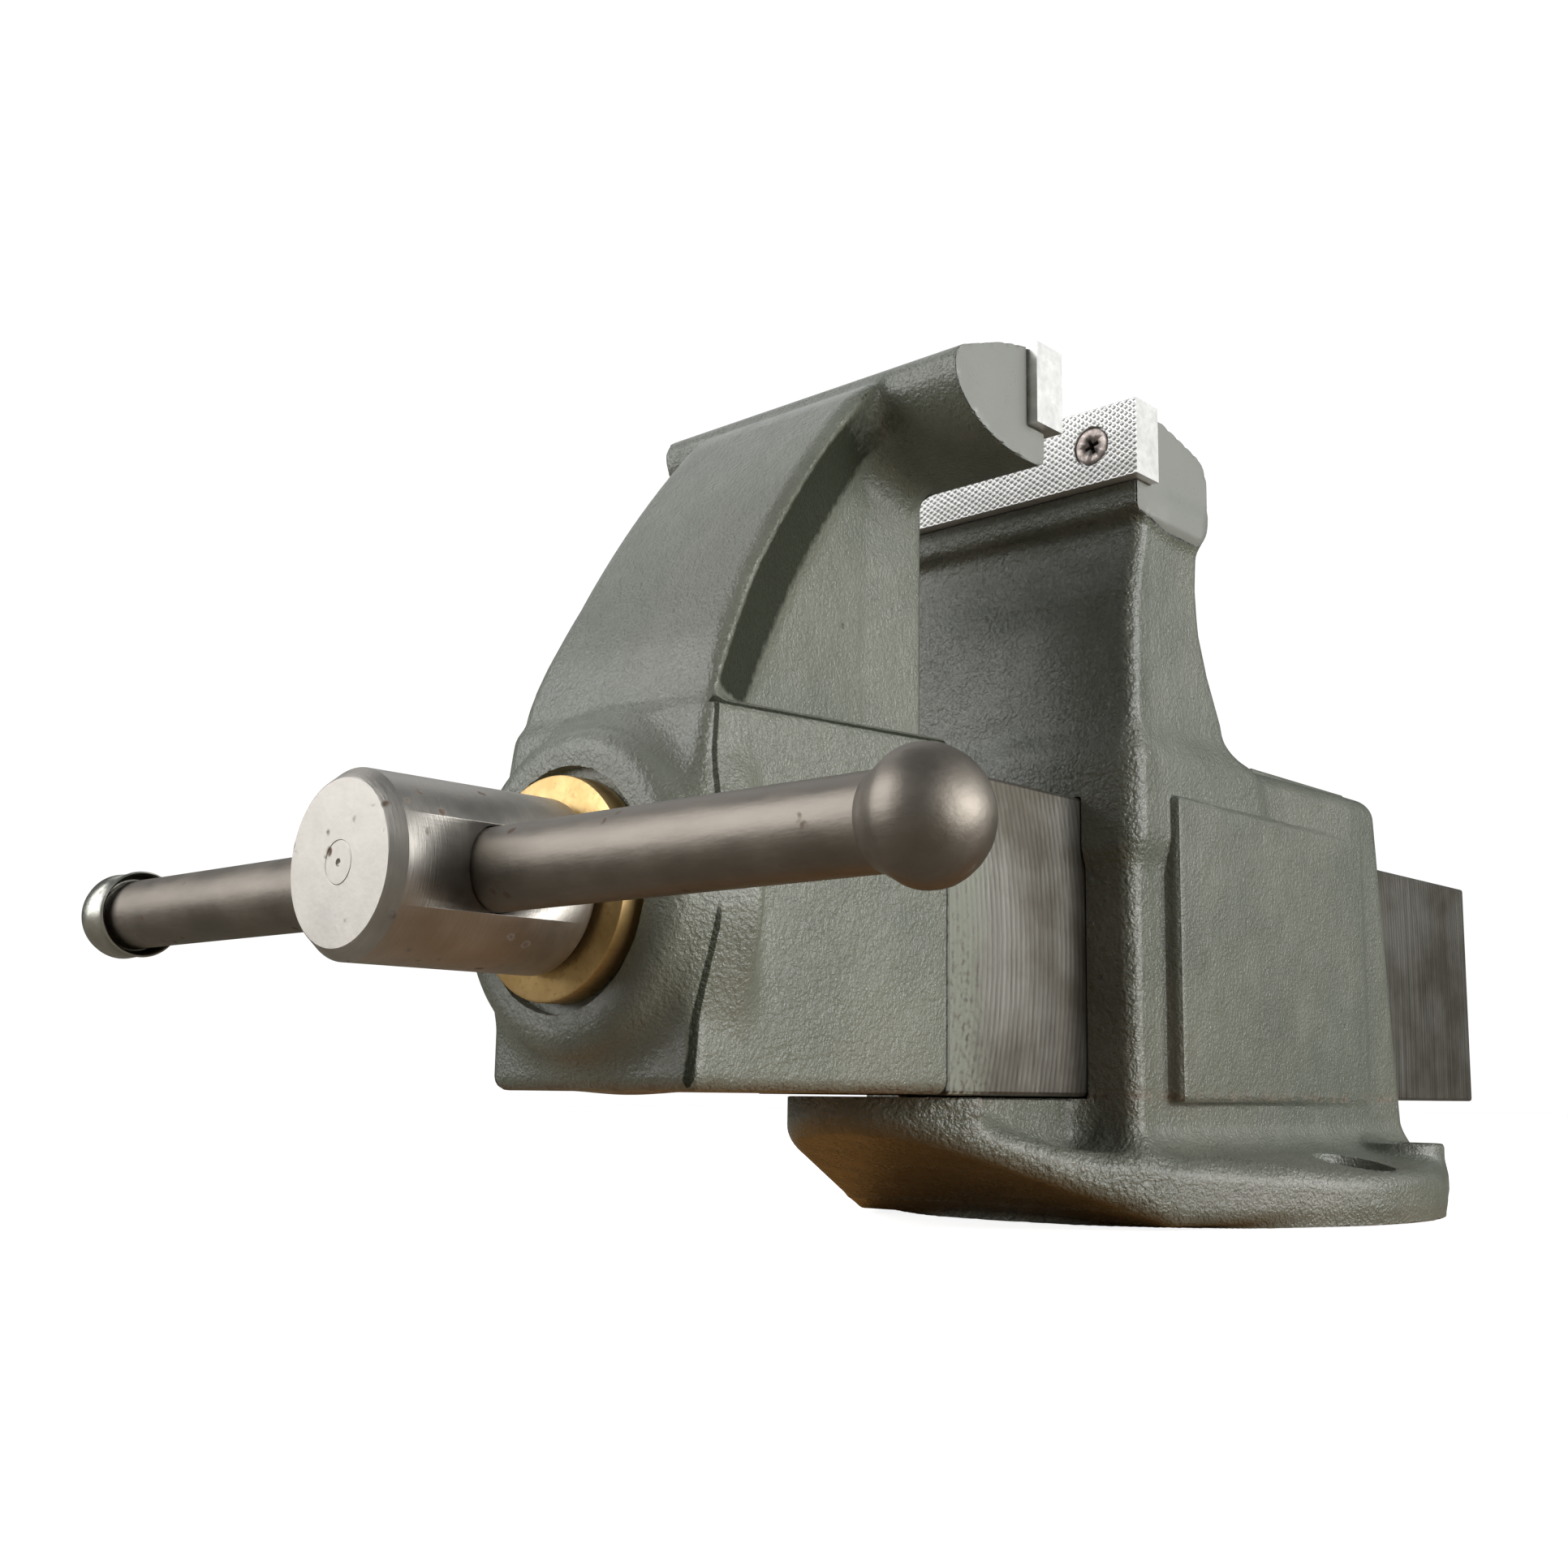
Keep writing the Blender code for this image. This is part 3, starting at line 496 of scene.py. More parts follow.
def lathe(axis, start, profile, steps=64):
    """A turned solid as a bmesh. The profile lists (height, radius) from end to end, or back to its start
    for a ring."""
    number = "XYZ".index(axis)
    along, side = np.eye(3)[number], np.eye(3)[(number + 1) % 3]
    other = np.cross(along, side)
    bm = bmesh.new()
    rings = []
    for height, radius in profile:
        count = 1 if radius < 1e-6 else steps
        ring = []
        for i in range(count):
            angle = 2 * math.pi * i / steps
            around = side * math.cos(angle) + other * math.sin(angle)
            ring.append(bm.verts.new(np.array(start) + along * height + around * radius))
        rings.append(ring)
    for first, second in zip(rings, rings[1:]):
        for i in range(steps):
            j = (i + 1) % steps
            corners = [first[i % len(first)], first[j % len(first)],
                       second[j % len(second)], second[i % len(second)]]
            corners = list(dict.fromkeys(corners))
            if len(corners) > 2:
                bm.faces.new(corners)
    return bm


def cut_with(obj, *tools):
    """Cut tools out of an object and throw the tools away."""
    for tool in tools:
        mod = obj.modifiers.new("cut", "BOOLEAN")
        mod.object = tool
        mod.operation = "DIFFERENCE"
        mod.solver = "EXACT"
    bpy.context.view_layer.update()
    evaluated = obj.evaluated_get(bpy.context.evaluated_depsgraph_get())
    mesh = bpy.data.meshes.new_from_object(evaluated)
    obj.modifiers.clear()
    obj.data = mesh
    for tool in tools:
        bpy.data.objects.remove(tool, do_unlink=True)
    return obj


def vertex_rows(mesh, what):
    """One row of three values for each vertex: "co" or "normal"."""
    values = np.empty(len(mesh.vertices) * 3)
    mesh.vertices.foreach_get(what, values)
    return values.reshape(-1, 3)


def store_mask(mesh, name, values):
    """Keep one value for each vertex, for a material to read."""
    attribute = mesh.attributes.new(name, "FLOAT", "POINT")
    attribute.data.foreach_set("value", values.astype(np.float32))


def knurled_insert(name, node, inward, material):
    """A jaw insert with a diamond knurled grip face: inward is the grip face's direction on Y."""
    low, high = box_mm(node)
    grip = high[1] if inward > 0 else low[1]
    back = low[1] if inward > 0 else high[1]
    pitch_x, pitch_z, groove = 3.05, 2.1, 0.5
    xs = np.linspace(low[0], high[0], 337)
    zs = np.linspace(low[2], high[2], 74)
    gx, gz = np.meshgrid(xs, zs, indexing="ij")
    u, v = gx / pitch_x, (gz - low[2]) / pitch_z
    across = np.minimum(np.abs((u + v + 0.5) % 1 - 0.5), np.abs((u - v + 0.5) % 1 - 0.5)) * 2
    depth = groove * (1 - np.clip(across * 1.6, 0, 1))
    inset = np.minimum.reduce([gx - low[0], high[0] - gx, gz - low[2], high[2] - gz])
    depth = np.where(inset < 0.2, groove / 2, depth)
    front = np.stack([gx, grip - inward * depth, gz], -1)
    bm = bmesh.new()
    grid = [[bm.verts.new(front[i, j]) for j in range(len(zs))] for i in range(len(xs))]
    for i in range(len(xs) - 1):
        for j in range(len(zs) - 1):
            bm.faces.new((grid[i][j], grid[i + 1][j], grid[i + 1][j + 1], grid[i][j + 1]))
    border = [grid[i][0] for i in range(len(xs))]
    border += [grid[-1][j] for j in range(1, len(zs))]
    border += [grid[i][-1] for i in range(len(xs) - 2, -1, -1)]
    border += [grid[0][j] for j in range(len(zs) - 2, 0, -1)]
    rear = [bm.verts.new((v.co.x, back, v.co.z)) for v in border]
    for i in range(len(border)):
        j = (i + 1) % len(border)
        bm.faces.new((border[i], border[j], rear[j], rear[i]))
    bm.faces.new(rear)
    plate = from_bmesh(name, bm, material, 60)
    tools = []
    for side in (-1, 1):
        for radius, steps, ends in ((6.7, 48, (grip + inward * 1.0, grip - inward * 2.6)),
                                    (3.4, 24, (grip, back - inward * 1.0))):
            start, end = sorted(ends)
            profile = [(start, 0), (start, radius), (end, radius), (end, 0)]
            drill = lathe("Y", (side * SCREW_X, 0, SCREW_Z), profile, steps)
            tools.append(from_bmesh("drill", drill, material))
    return cut_with(plate, *tools)


def flat_screw(name, x, grip, inward, material):
    """A flat-head screw with a cross recess, just below the grip face."""
    face = grip - inward * 0.45
    profile = [(0, 0), (0, 5.7), (0.25, 6.15), (0.75, 6.2), (3.2, 3.1), (25.5, 3.0), (25.9, 2.5), (25.9, 0)]
    profile = [(face - inward * height, radius) for height, radius in profile]
    screw = from_bmesh(name, lathe("Y", (x, 0, SCREW_Z), profile, 48), material)
    tools = []
    for turn in (20.0, 110.0):
        bm = bmesh.new()
        bmesh.ops.create_cone(bm, cap_ends=True, segments=4, radius1=1.9, radius2=4.8, depth=3.4)
        verts = bm.verts[:]
        bmesh.ops.rotate(bm, matrix=Matrix.Rotation(math.pi / 4, 3, "Z"), verts=verts)
        bmesh.ops.scale(bm, vec=(1.0, 0.27, 1.0), verts=verts)
        bmesh.ops.rotate(bm, matrix=Matrix.Rotation(math.radians(turn), 3, "Z"), verts=verts)
        bmesh.ops.rotate(bm, matrix=Matrix.Rotation(-inward * math.pi / 2, 3, "X"), verts=verts)
        bmesh.ops.translate(bm, vec=(x, face - inward * 0.9, SCREW_Z), verts=verts)
        tools.append(from_bmesh("recess", bm, material))
    screw = cut_with(screw, *tools)
    # Mark the cross recess, where the screw's material paints shade.
    px, py, pz = vertex_rows(screw.data, "co").T / MM
    sunk = ((face - py) * inward > 0.1) & (length(px - x, pz - SCREW_Z) < 5.0)
    store_mask(screw.data, "recess", sunk)
    return screw


def acme_thread(name, low, high, major, minor, pitch, material):
    """A right-hand trapezoidal thread about the spindle axis, closed at both ends."""
    steps = 48
    phases = ((0.0, minor), (0.36, minor), (0.50, major), (0.86, major))
    count = int(math.ceil((high - low) / pitch + 2)) * steps
    bm = bmesh.new()
    rows = []
    for m in range(count + steps + 1):
        angle = 2 * math.pi * m / steps
        row = []
        for phase, radius in phases:
            y = low + pitch * (m / steps + phase - 1.0)
            if not low < y < high:
                y = min(max(y, low), high)
                radius = 0.0
            row.append(bm.verts.new((radius * math.sin(angle), y, AXIS_Z + radius * math.cos(angle))))
        rows.append(row)
    for m in range(count):
        for p in range(4):
            if p < 3:
                bm.faces.new((rows[m][p], rows[m + 1][p], rows[m + 1][p + 1], rows[m][p + 1]))
            elif m + 1 + steps < len(rows):
                bm.faces.new((rows[m][p], rows[m + 1][p], rows[m + 1 + steps][0], rows[m + steps][0]))
    bmesh.ops.remove_doubles(bm, verts=bm.verts[:], dist=1e-3)
    bmesh.ops.dissolve_degenerate(bm, dist=1e-3, edges=bm.edges[:])
    loose = [v for v in bm.verts if not v.link_faces]
    bmesh.ops.delete(bm, geom=loose, context="VERTS")
    return from_bmesh(name, bm, material, 30)


# ---------------- materials


def add_node(tree, kind, **inputs):
    """Add a shader node and fill its inputs, in whose names an underscore stands for a space."""
    node = tree.nodes.new("ShaderNode" + kind)
    for name, value in inputs.items():
        fill(tree, node.inputs[name.replace("_", " ")], value)
    return node


def fill(tree, socket, value):
    """Join an output to an input, or set the input to a plain value."""
    if isinstance(value, bpy.types.NodeSocket):
        tree.links.new(value, socket)
    else:
        socket.default_value = value


class Look:
    """Builds one procedural material, node by node."""

    def __init__(self, name, colour, roughness, metallic=0.0):
        self.material = bpy.data.materials.new(name)
        self.material.use_nodes = True
        self.tree = self.material.node_tree
        self.shader = self.tree.nodes["Principled BSDF"]
        self.send("Base Color", (*colour, 1.0))
        self.send("Roughness", roughness)
        self.send("Metallic", metallic)
        self.place = self.node("TexCoord").outputs["Object"]

    def node(self, kind, **inputs):
        """Add a node to the material."""
        return add_node(self.tree, kind, **inputs)

    def send(self, name, value):
        """Give the shader one of its values."""
        fill(self.tree, self.shader.inputs[name], value)

    def stretched(self, scale):
        """Object coordinates, scaled along each axis."""
        return self.node("Mapping", Vector=self.place, Scale=scale).outputs["Vector"]

    def noise(self, scale, detail=3.0, roughness=0.55, vector=None):
        """Noise with features of about 1 / scale metres."""
        node = self.node("TexNoise", Vector=vector or self.place, Scale=scale, Detail=detail,
                         Roughness=roughness)
        return node.outputs["Fac"]

    def cells(self, scale):
        """Distance to the nearest of a set of scattered points."""
        return self.node("TexVoronoi", Vector=self.place, Scale=scale).outputs["Distance"]

    def remap(self, value, low, high, to_low=0.0, to_high=1.0):
        """Stretch a range of values onto another, with its ends held."""
        node = self.node("MapRange", Value=value, From_Min=low, From_Max=high, To_Min=to_low, To_Max=to_high)
        return node.outputs["Result"]

    def maths(self, operation, a, b=0.0):
        """One arithmetic step."""
        node = self.node("Math")
        node.operation = operation
        fill(self.tree, node.inputs[0], a)
        fill(self.tree, node.inputs[1], b)
        return node.outputs["Value"]

    def mix(self, factor, first, second):
        """Blend two colours."""
        node = self.node("Mix")
        node.data_type = "RGBA"
        fill(self.tree, node.inputs["Factor"], factor)
        for value, socket in ((first, node.inputs["A"]), (second, node.inputs["B"])):
            fill(self.tree, socket, value if isinstance(value, bpy.types.NodeSocket) else (*value, 1.0))
        return node.outputs["Result"]

    def mask(self, name):
        """A value kept on the vertices of the mesh."""
        node = self.node("Attribute")
        node.attribute_name = name
        return node.outputs["Fac"]

    def product(self, *factors):
        """Several values multiplied."""
        total = factors[0]
        for factor in factors[1:]:
            total = self.maths("MULTIPLY", total, factor)
        return total

    def axis_value(self, axis):
        """One object coordinate, in metres."""
        return self.node("SeparateXYZ", Vector=self.place).outputs[axis]

    def bumps(self, *layers):
        """Stack bump layers of (height, distance in metres, strength)."""
        normal = None
        for height, distance, strength in layers:
            node = self.node("Bump", Height=height, Distance=distance, Strength=strength)
            if normal:
                fill(self.tree, node.inputs["Normal"], normal)
            normal = node.outputs["Normal"]
        self.send("Normal", normal)


def painted_shade_lines(look):
    """Thin dark lines of painted shade along the edges of the box and of its web."""
    x = look.maths("ABSOLUTE", look.axis_value("X"))
    y, z = look.axis_value("Y"), look.axis_value("Z")
    side = look.product(look.remap(x, (BOX_HALF - 1.6) * MM, (BOX_HALF - 1.0) * MM),
                        look.remap(x, (BOX_HALF + 1.5) * MM, (BOX_HALF + 1.0) * MM))
    corner = look.product(look.remap(x, (BOX_HALF - 3.6) * MM, (BOX_HALF - 3.0) * MM),
                          look.remap(x, (BOX_HALF + 6.0) * MM, (BOX_HALF + 5.0) * MM),
                          look.remap(z, 0.142, 0.138))
    on_web = look.product(look.remap(z, 0.1435, 0.1445), look.remap(x, 0.020, 0.019))
    leaning = look.maths("SUBTRACT", y, look.product(z, 0.055))
    top_edge = look.maths("ADD", (BOX_TOP - BOX_RISE * BOX_TOP_Y) * MM, look.product(y, BOX_RISE))
    below_top = look.maths("SUBTRACT", top_edge, z)
    # What to measure, where the line is on it, its half width, and the part of the casting that it marks.
    shade_lines = ((leaning, (BOX_FRONT - 1.4) * MM, 0.0013, corner), (y, BOX_REAR * MM, 0.0019, corner),
             (below_top, 0.0012, 0.0013, side), (y, WEB_REAR * MM, 0.0022, on_web))
    lines = []
    for value, centre, half_width, where in shade_lines:
        away = look.maths("ABSOLUTE", look.maths("SUBTRACT", value, centre))
        lines.append(look.product(look.remap(away, half_width, half_width * 0.4), where))
    total = lines[0]
    for line in lines[1:]:
        total = look.maths("MAXIMUM", total, line)
    return total


def casting_paint(name, tone=1.0, shade_lines=False):
    """Sage enamel over a sand casting: smooth on the machined ends of the jaw, darkened by painted shade in
    the horn's coves and along the box's edges and, on the fixed casting, thick and glossy on the front of the
    column."""
    look = Look(name, (0.165, 0.18, 0.145), 0.34)
    look.send("Coat Roughness", 0.25)
    end_x = JAW_END * MM
    x = look.maths("ABSOLUTE", look.axis_value("X"))
    z = look.axis_value("Z")
    high = look.remap(z, 0.205, 0.215)
    flat = look.product(look.remap(x, end_x - 0.0004, end_x - 0.0001), high)
    rough_part = look.maths("SUBTRACT", 1.0, look.product(flat, 0.9))

    blotch = look.noise(38.0, 4.0, 0.6)
    cloud = look.noise(9.0, 2.0, 0.5)
    base = look.mix(look.remap(blotch, 0.32, 0.7), [tone * c for c in (0.130, 0.144, 0.115)],
                    [tone * c for c in (0.182, 0.195, 0.161)])
    base = look.mix(look.remap(cloud, 0.45, 0.75, 0.0, 0.35), base, (0.195, 0.183, 0.145))
    speck = look.remap(look.noise(620.0, 2.0, 0.6), 0.66, 0.74)
    base = look.mix(look.product(speck, 0.35), base, (0.08, 0.08, 0.058))
    pits = look.remap(look.cells(85.0), 0.10, 0.05)
    rare = look.remap(look.noise(60.0, 1.0), 0.60, 0.66)
    pits = look.product(pits, rare)
    base = look.mix(look.product(pits, 0.75), base, (0.035, 0.03, 0.022))
    base = look.mix(look.product(flat, 0.8), base, (0.235, 0.242, 0.226))
    # Painted shade: the horn's coves and, on the jaw, thin lines along the box's edges are darkened to near
    # black, with a thinner coat and less specular.
    dark = look.mask("cove")
    if shade_lines:
        dark = look.maths("MAXIMUM", dark, painted_shade_lines(look))
    ragged = look.maths("ADD", dark, look.product(look.noise(420.0, 2.0), 0.5))
    painted_shade = look.remap(ragged, 0.55, 0.95)
    base = look.mix(look.product(painted_shade, 0.92), base, (0.020, 0.024, 0.014))
    look.send("Coat Weight", look.remap(painted_shade, 0.0, 1.0, 0.25, 0.0))
    look.send("Specular IOR Level", look.remap(painted_shade, 0.0, 1.0, 0.5, 0.12))

    chip = look.product(look.mask("wear"), look.noise(260.0, 4.0, 0.65))
    under = look.product(look.remap(z, 0.0435, 0.0405), look.remap(z, 0.0390, 0.0396),
                         look.remap(look.noise(150.0, 4.0, 0.7), 0.44, 0.56))
    chip = look.maths("MAXIMUM", look.remap(chip, 0.47, 0.53), look.product(under, 0.8))
    bare = look.mix(look.remap(look.noise(500.0), 0.4, 0.6), (0.10, 0.07, 0.045), (0.20, 0.18, 0.15))
    chip = look.product(chip, look.maths("SUBTRACT", 1.0, painted_shade))
    look.send("Base Color", look.mix(chip, base, bare))

    gloss = look.remap(look.noise(110.0, 3.0), 0.3, 0.75, 0.26, 0.42)
    grain = look.product(look.noise(1150.0, 2.0, 0.5), rough_part)
    peel = look.product(look.noise(620.0, 2.0, 0.5), rough_part)
    lumps = look.product(look.noise(70.0, 2.0, 0.5), rough_part)
    if not shade_lines:
        thick = look.remap(look.axis_value("Y"), -0.094, -0.104)
        gloss = look.maths("SUBTRACT", gloss, look.product(thick, 0.09))
        peel = look.product(peel, look.maths("ADD", 1.0, look.product(thick, 1.3)))
        lumps = look.product(lumps, look.maths("ADD", 1.0, look.product(thick, 1.6)))
    look.send("Roughness", look.maths("ADD", gloss, look.product(chip, 0.25)))
    sunk = look.product(look.maths("ADD", pits, chip), -1.0)
    look.bumps((lumps, 0.0018, 0.5), (peel, 0.0008, 0.62), (grain, 0.0005, 0.9), (sunk, 0.0005, 0.5))
    return look.material


def knurled_steel(name):
    """Bright ground steel with a faint grain along X."""
    look = Look(name, (0.74, 0.74, 0.73), 0.34, metallic=0.6)
    smear = look.noise(1.0, 4.0, 0.6, look.stretched((60, 400, 400)))
    look.send("Base Color", look.mix(look.remap(smear, 0.35, 0.7), (0.66, 0.665, 0.655), (0.80, 0.80, 0.79)))
    look.send("Roughness", look.remap(look.noise(180.0), 0.3, 0.7, 0.28, 0.42))
    look.bumps((smear, 0.00005, 0.3), (look.noise(900.0, 2.0), 0.00003, 0.4))
    return look.material


def turned_steel(name, axis_scale, base, rust, dull=0.0):
    """Lathe-turned steel: fine rings around its axis, stains and rust specks."""
    look = Look(name, base, 0.30, metallic=1.0)
    rings = look.noise(1.0, 3.0, 0.7, look.stretched(axis_scale))
    cloud = look.noise(45.0, 4.0, 0.6)
    darker, lighter, ringed = [[c * part for c in base] for part in (0.80, 1.12, 0.62)]
    tone = look.mix(look.remap(cloud, 0.35, 0.68), darker, lighter)
    tone = look.mix(look.remap(rings, 0.3, 0.7, 0.0, 0.35), tone, ringed)
    spots = look.remap(look.cells(210.0), 0.30, 0.16)
    where = look.remap(look.noise(75.0, 3.0, 0.6), 0.655 - 0.12 * rust, 0.715 - 0.12 * rust)
    spots = look.product(spots, where, rust)
    look.send("Base Color", look.mix(spots, tone, (0.11, 0.060, 0.030)))
    base_rough = look.remap(cloud, 0.3, 0.7, 0.26 + dull, 0.42 + dull)
    look.send("Roughness", look.maths("ADD", base_rough, look.product(spots, 0.4)))
    look.send("Metallic", look.maths("SUBTRACT", 1.0, look.product(spots, 0.8)))
    look.bumps((rings, 0.00025, 0.35), (look.noise(700.0, 3.0), 0.0001, 0.35), (spots, 0.00005, 0.3))
    return look.material


def bar_steel(name):
    """Milled steel slide: curved cutter marks, stains, overspray by the front jaw and a painted shadow at the
    seam against it.
    """
    look = Look(name, (0.42, 0.41, 0.38), 0.36, metallic=0.9)
    y = look.axis_value("Y")
    shifted = look.node("Mapping", Vector=look.place, Location=(0.0, 0.30, -0.085)).outputs["Vector"]
    arcs = look.node("TexWave", Vector=shifted, Scale=130.0, Distortion=1.2, Detail=3.0, Detail_Scale=1.4)
    arcs.wave_type = "RINGS"
    arcs.rings_direction = "X"
    streak = look.noise(1.0, 4.0, 0.65, look.stretched((700, 620, 9)))
    cloud = look.noise(24.0, 4.0, 0.6)
    tone = look.mix(look.remap(streak, 0.35, 0.7), (0.165, 0.160, 0.142), (0.235, 0.228, 0.205))
    tone = look.mix(look.remap(arcs.outputs["Fac"], 0.45, 0.95, 0.0, 0.4), tone, (0.36, 0.345, 0.31))
    tone = look.mix(look.remap(cloud, 0.38, 0.62, 0.0, 0.75), tone, (0.085, 0.072, 0.055))
    edge = look.maths("ADD", y, look.product(look.noise(130.0, 3.0), 0.016))
    spray = look.remap(edge, -0.1480, -0.1600)
    grit = look.remap(look.noise(420.0, 2.0), 0.34, 0.52)
    spray = look.product(spray, grit)
    tone = look.mix(spray, tone, (0.20, 0.215, 0.175))
    from_seam = look.maths("ABSOLUTE", look.maths("SUBTRACT", y, BOX_REAR * MM + 0.0006))
    shadow = look.remap(from_seam, 0.0016, 0.0008)
    look.send("Base Color", look.mix(shadow, tone, (0.012, 0.011, 0.009)))
    look.send("Metallic", look.maths("SUBTRACT", 0.92, look.product(spray, 0.9)))
    look.send("Roughness", look.remap(streak, 0.3, 0.7, 0.36, 0.46))
    look.bumps((arcs.outputs["Fac"], 0.00006, 0.4), (streak, 0.00005, 0.3), (look.noise(600.0), 0.0001, 0.4))
    return look.material


def bronze(name):
    """Turned bronze with faint rings and tarnish."""
    look = Look(name, (0.72, 0.47, 0.17), 0.33, metallic=1.0)
    cloud = look.noise(60.0, 4.0, 0.65)
    tone = look.mix(look.remap(cloud, 0.35, 0.7), (0.64, 0.46, 0.22), (0.46, 0.31, 0.12))
    scratch = look.noise(1.0, 3.0, 0.6, look.stretched((500, 60, 500)))
    look.send("Base Color", look.mix(look.remap(scratch, 0.55, 0.75, 0.0, 0.5), tone, (0.30, 0.18, 0.06)))
    look.send("Roughness", look.remap(cloud, 0.3, 0.7, 0.42, 0.56))
    look.bumps((scratch, 0.0002, 0.3), (look.noise(800.0), 0.0001, 0.3))
    return look.material


def dark_screw(name):
    """Brown-black steel, rubbed bright on its face, with painted shade turning the recess black."""
    look = Look(name, (0.25, 0.22, 0.20), 0.38, metallic=0.9)
    tone = look.mix(look.remap(look.noise(500.0, 3.0), 0.35, 0.7), (0.26, 0.22, 0.20), (0.52, 0.46, 0.43))
    # Painted shade: the recess is painted near black and not metallic.
    recess_shade = look.remap(look.mask("recess"), 0.0, 0.25)
    look.send("Base Color", look.mix(recess_shade, tone, (0.012, 0.010, 0.009)))
    look.send("Metallic", look.remap(recess_shade, 0.0, 1.0, 0.9, 0.0))
    look.send("Roughness", look.remap(look.noise(900.0), 0.3, 0.7, 0.3, 0.5))
    look.bumps((look.noise(1200.0, 2.0), 0.0001, 0.4))
    return look.material


# The fixed casting's enamel is the jaw's enamel made darker: painted shade for the weaker light that falls on
# it.
SHADED_BODY_PAINT = casting_paint("body_enamel_shaded", tone=0.82)
PAINT_JAW = casting_paint("jaw_enamel", shade_lines=True)
INSERT_STEEL = knurled_steel("insert_steel")
SPINDLE_STEEL = turned_steel("spindle_steel", (90, 1800, 90), (0.50, 0.475, 0.44), 0.9, 0.13)
HANDLE_STEEL = turned_steel("handle_steel", (60, 300, 300), (0.25, 0.225, 0.195), 0.7, 0.14)
# The left cap is the handle's steel made much brighter: painted light for the bright rim it shows.
LIT_CAP_STEEL = turned_steel("cap_steel_lit", (300, 300, 300), (0.50, 0.50, 0.45), 0.4)
INNER_STEEL = turned_steel("inner_steel", (700, 700, 700), (0.45, 0.44, 0.42), 0.3)
BAR_STEEL = bar_steel("bar_steel")
BRONZE = bronze("collar_bronze")
DARK_STEEL = dark_screw("screw_steel")


# ---------------- the pieces

WEAR_RADIUS = 0.0028             # a convex edge of this radius or less counts as fully worn


def cove_shade_mask(obj):
    """Store where the coves beside the horn lie, from 0 outside them to 1 within: the material paints shade
    there.
    """
    x, y, z = vertex_rows(obj.data, "co").T / MM
    depth = HORN_RADIUS - length(y - HORN_CENTRE[0], z - HORN_CENTRE[1])
    run = (depth - RIDGE_DEPTH) / (COVE_DEPTH - RIDGE_DEPTH)
    inside = np.clip(run / 0.10, 0, 1) * np.clip((0.95 - run) / 0.25, 0, 1)
    inside *= np.clip((z - BOX_TOP - 2.0) / 3.0, 0, 1) * np.clip((np.abs(x) - 14.0) / 2.0, 0, 1)
    inside *= np.clip((248.0 - z) / 26.0, 0, 1) * np.clip((-188.0 - y) / 10.0, 0, 1)
    inside *= np.clip((48.0 - np.abs(x)) / 14.0, 0, 1)
    store_mask(obj.data, "cove", inside)


def wear_mask(obj):
    """Store how much of an outer edge each vertex is, from 0 on flats to 1 on sharp edges."""
    mesh = obj.data
    count = len(mesh.vertices)
    points, normals = vertex_rows(mesh, "co"), vertex_rows(mesh, "normal")
    ends = np.empty(len(mesh.edges) * 2, np.int64)
    mesh.edges.foreach_get("vertices", ends)
    first, second = ends.reshape(-1, 2).T
    gap = points[first] - points[second]
    away = (gap * (normals[first] - normals[second])).sum(1)
    bend = away / np.maximum((gap ** 2).sum(1), 1e-12)
    total = np.bincount(first, bend, count) + np.bincount(second, bend, count)
    number = np.bincount(first, minlength=count) + np.bincount(second, minlength=count)
    mean = total / np.maximum(number, 1)
    store_mask(mesh, "wear", np.clip(mean * WEAR_RADIUS, 0, 1))


def casting(name, node, body, field, material):
    """Mesh one casting and stand it in for its CAD node."""
    verts, faces = contour(field, *box_mm(node), CASTING_CELL)
    obj = from_quads(name, verts, faces, material)
    wear_mask(obj)
    if node == "front_jaw":
        cove_shade_mask(obj)
    return place(obj, body, node)


def place(obj, body, node):
    """Ride a piece on a body, in place of a CAD node, which is hidden."""
    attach(obj, body)
    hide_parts(node)
    return obj


casting("rear_casting", "rear_jaw_body", "base", rear_body_field, SHADED_BODY_PAINT)
casting("front_casting", "front_jaw", "moving_jaw", front_jaw_field, PAINT_JAW)

for end, body, inward in (("front", "moving_jaw", 1), ("rear", "base", -1)):
    node = end + "_jaw_insert"
    low, high = box_mm(node)
    grip = high[1] if inward > 0 else low[1]
    place(knurled_insert(end + "_insert", node, inward, INSERT_STEEL), body, node)
    for side, label in ((-1, "left"), (1, "right")):
        screw = flat_screw(end + "_screw_" + label, side * SCREW_X, grip, inward, DARK_STEEL)
        place(screw, body, end + "_insert_screw_" + label)


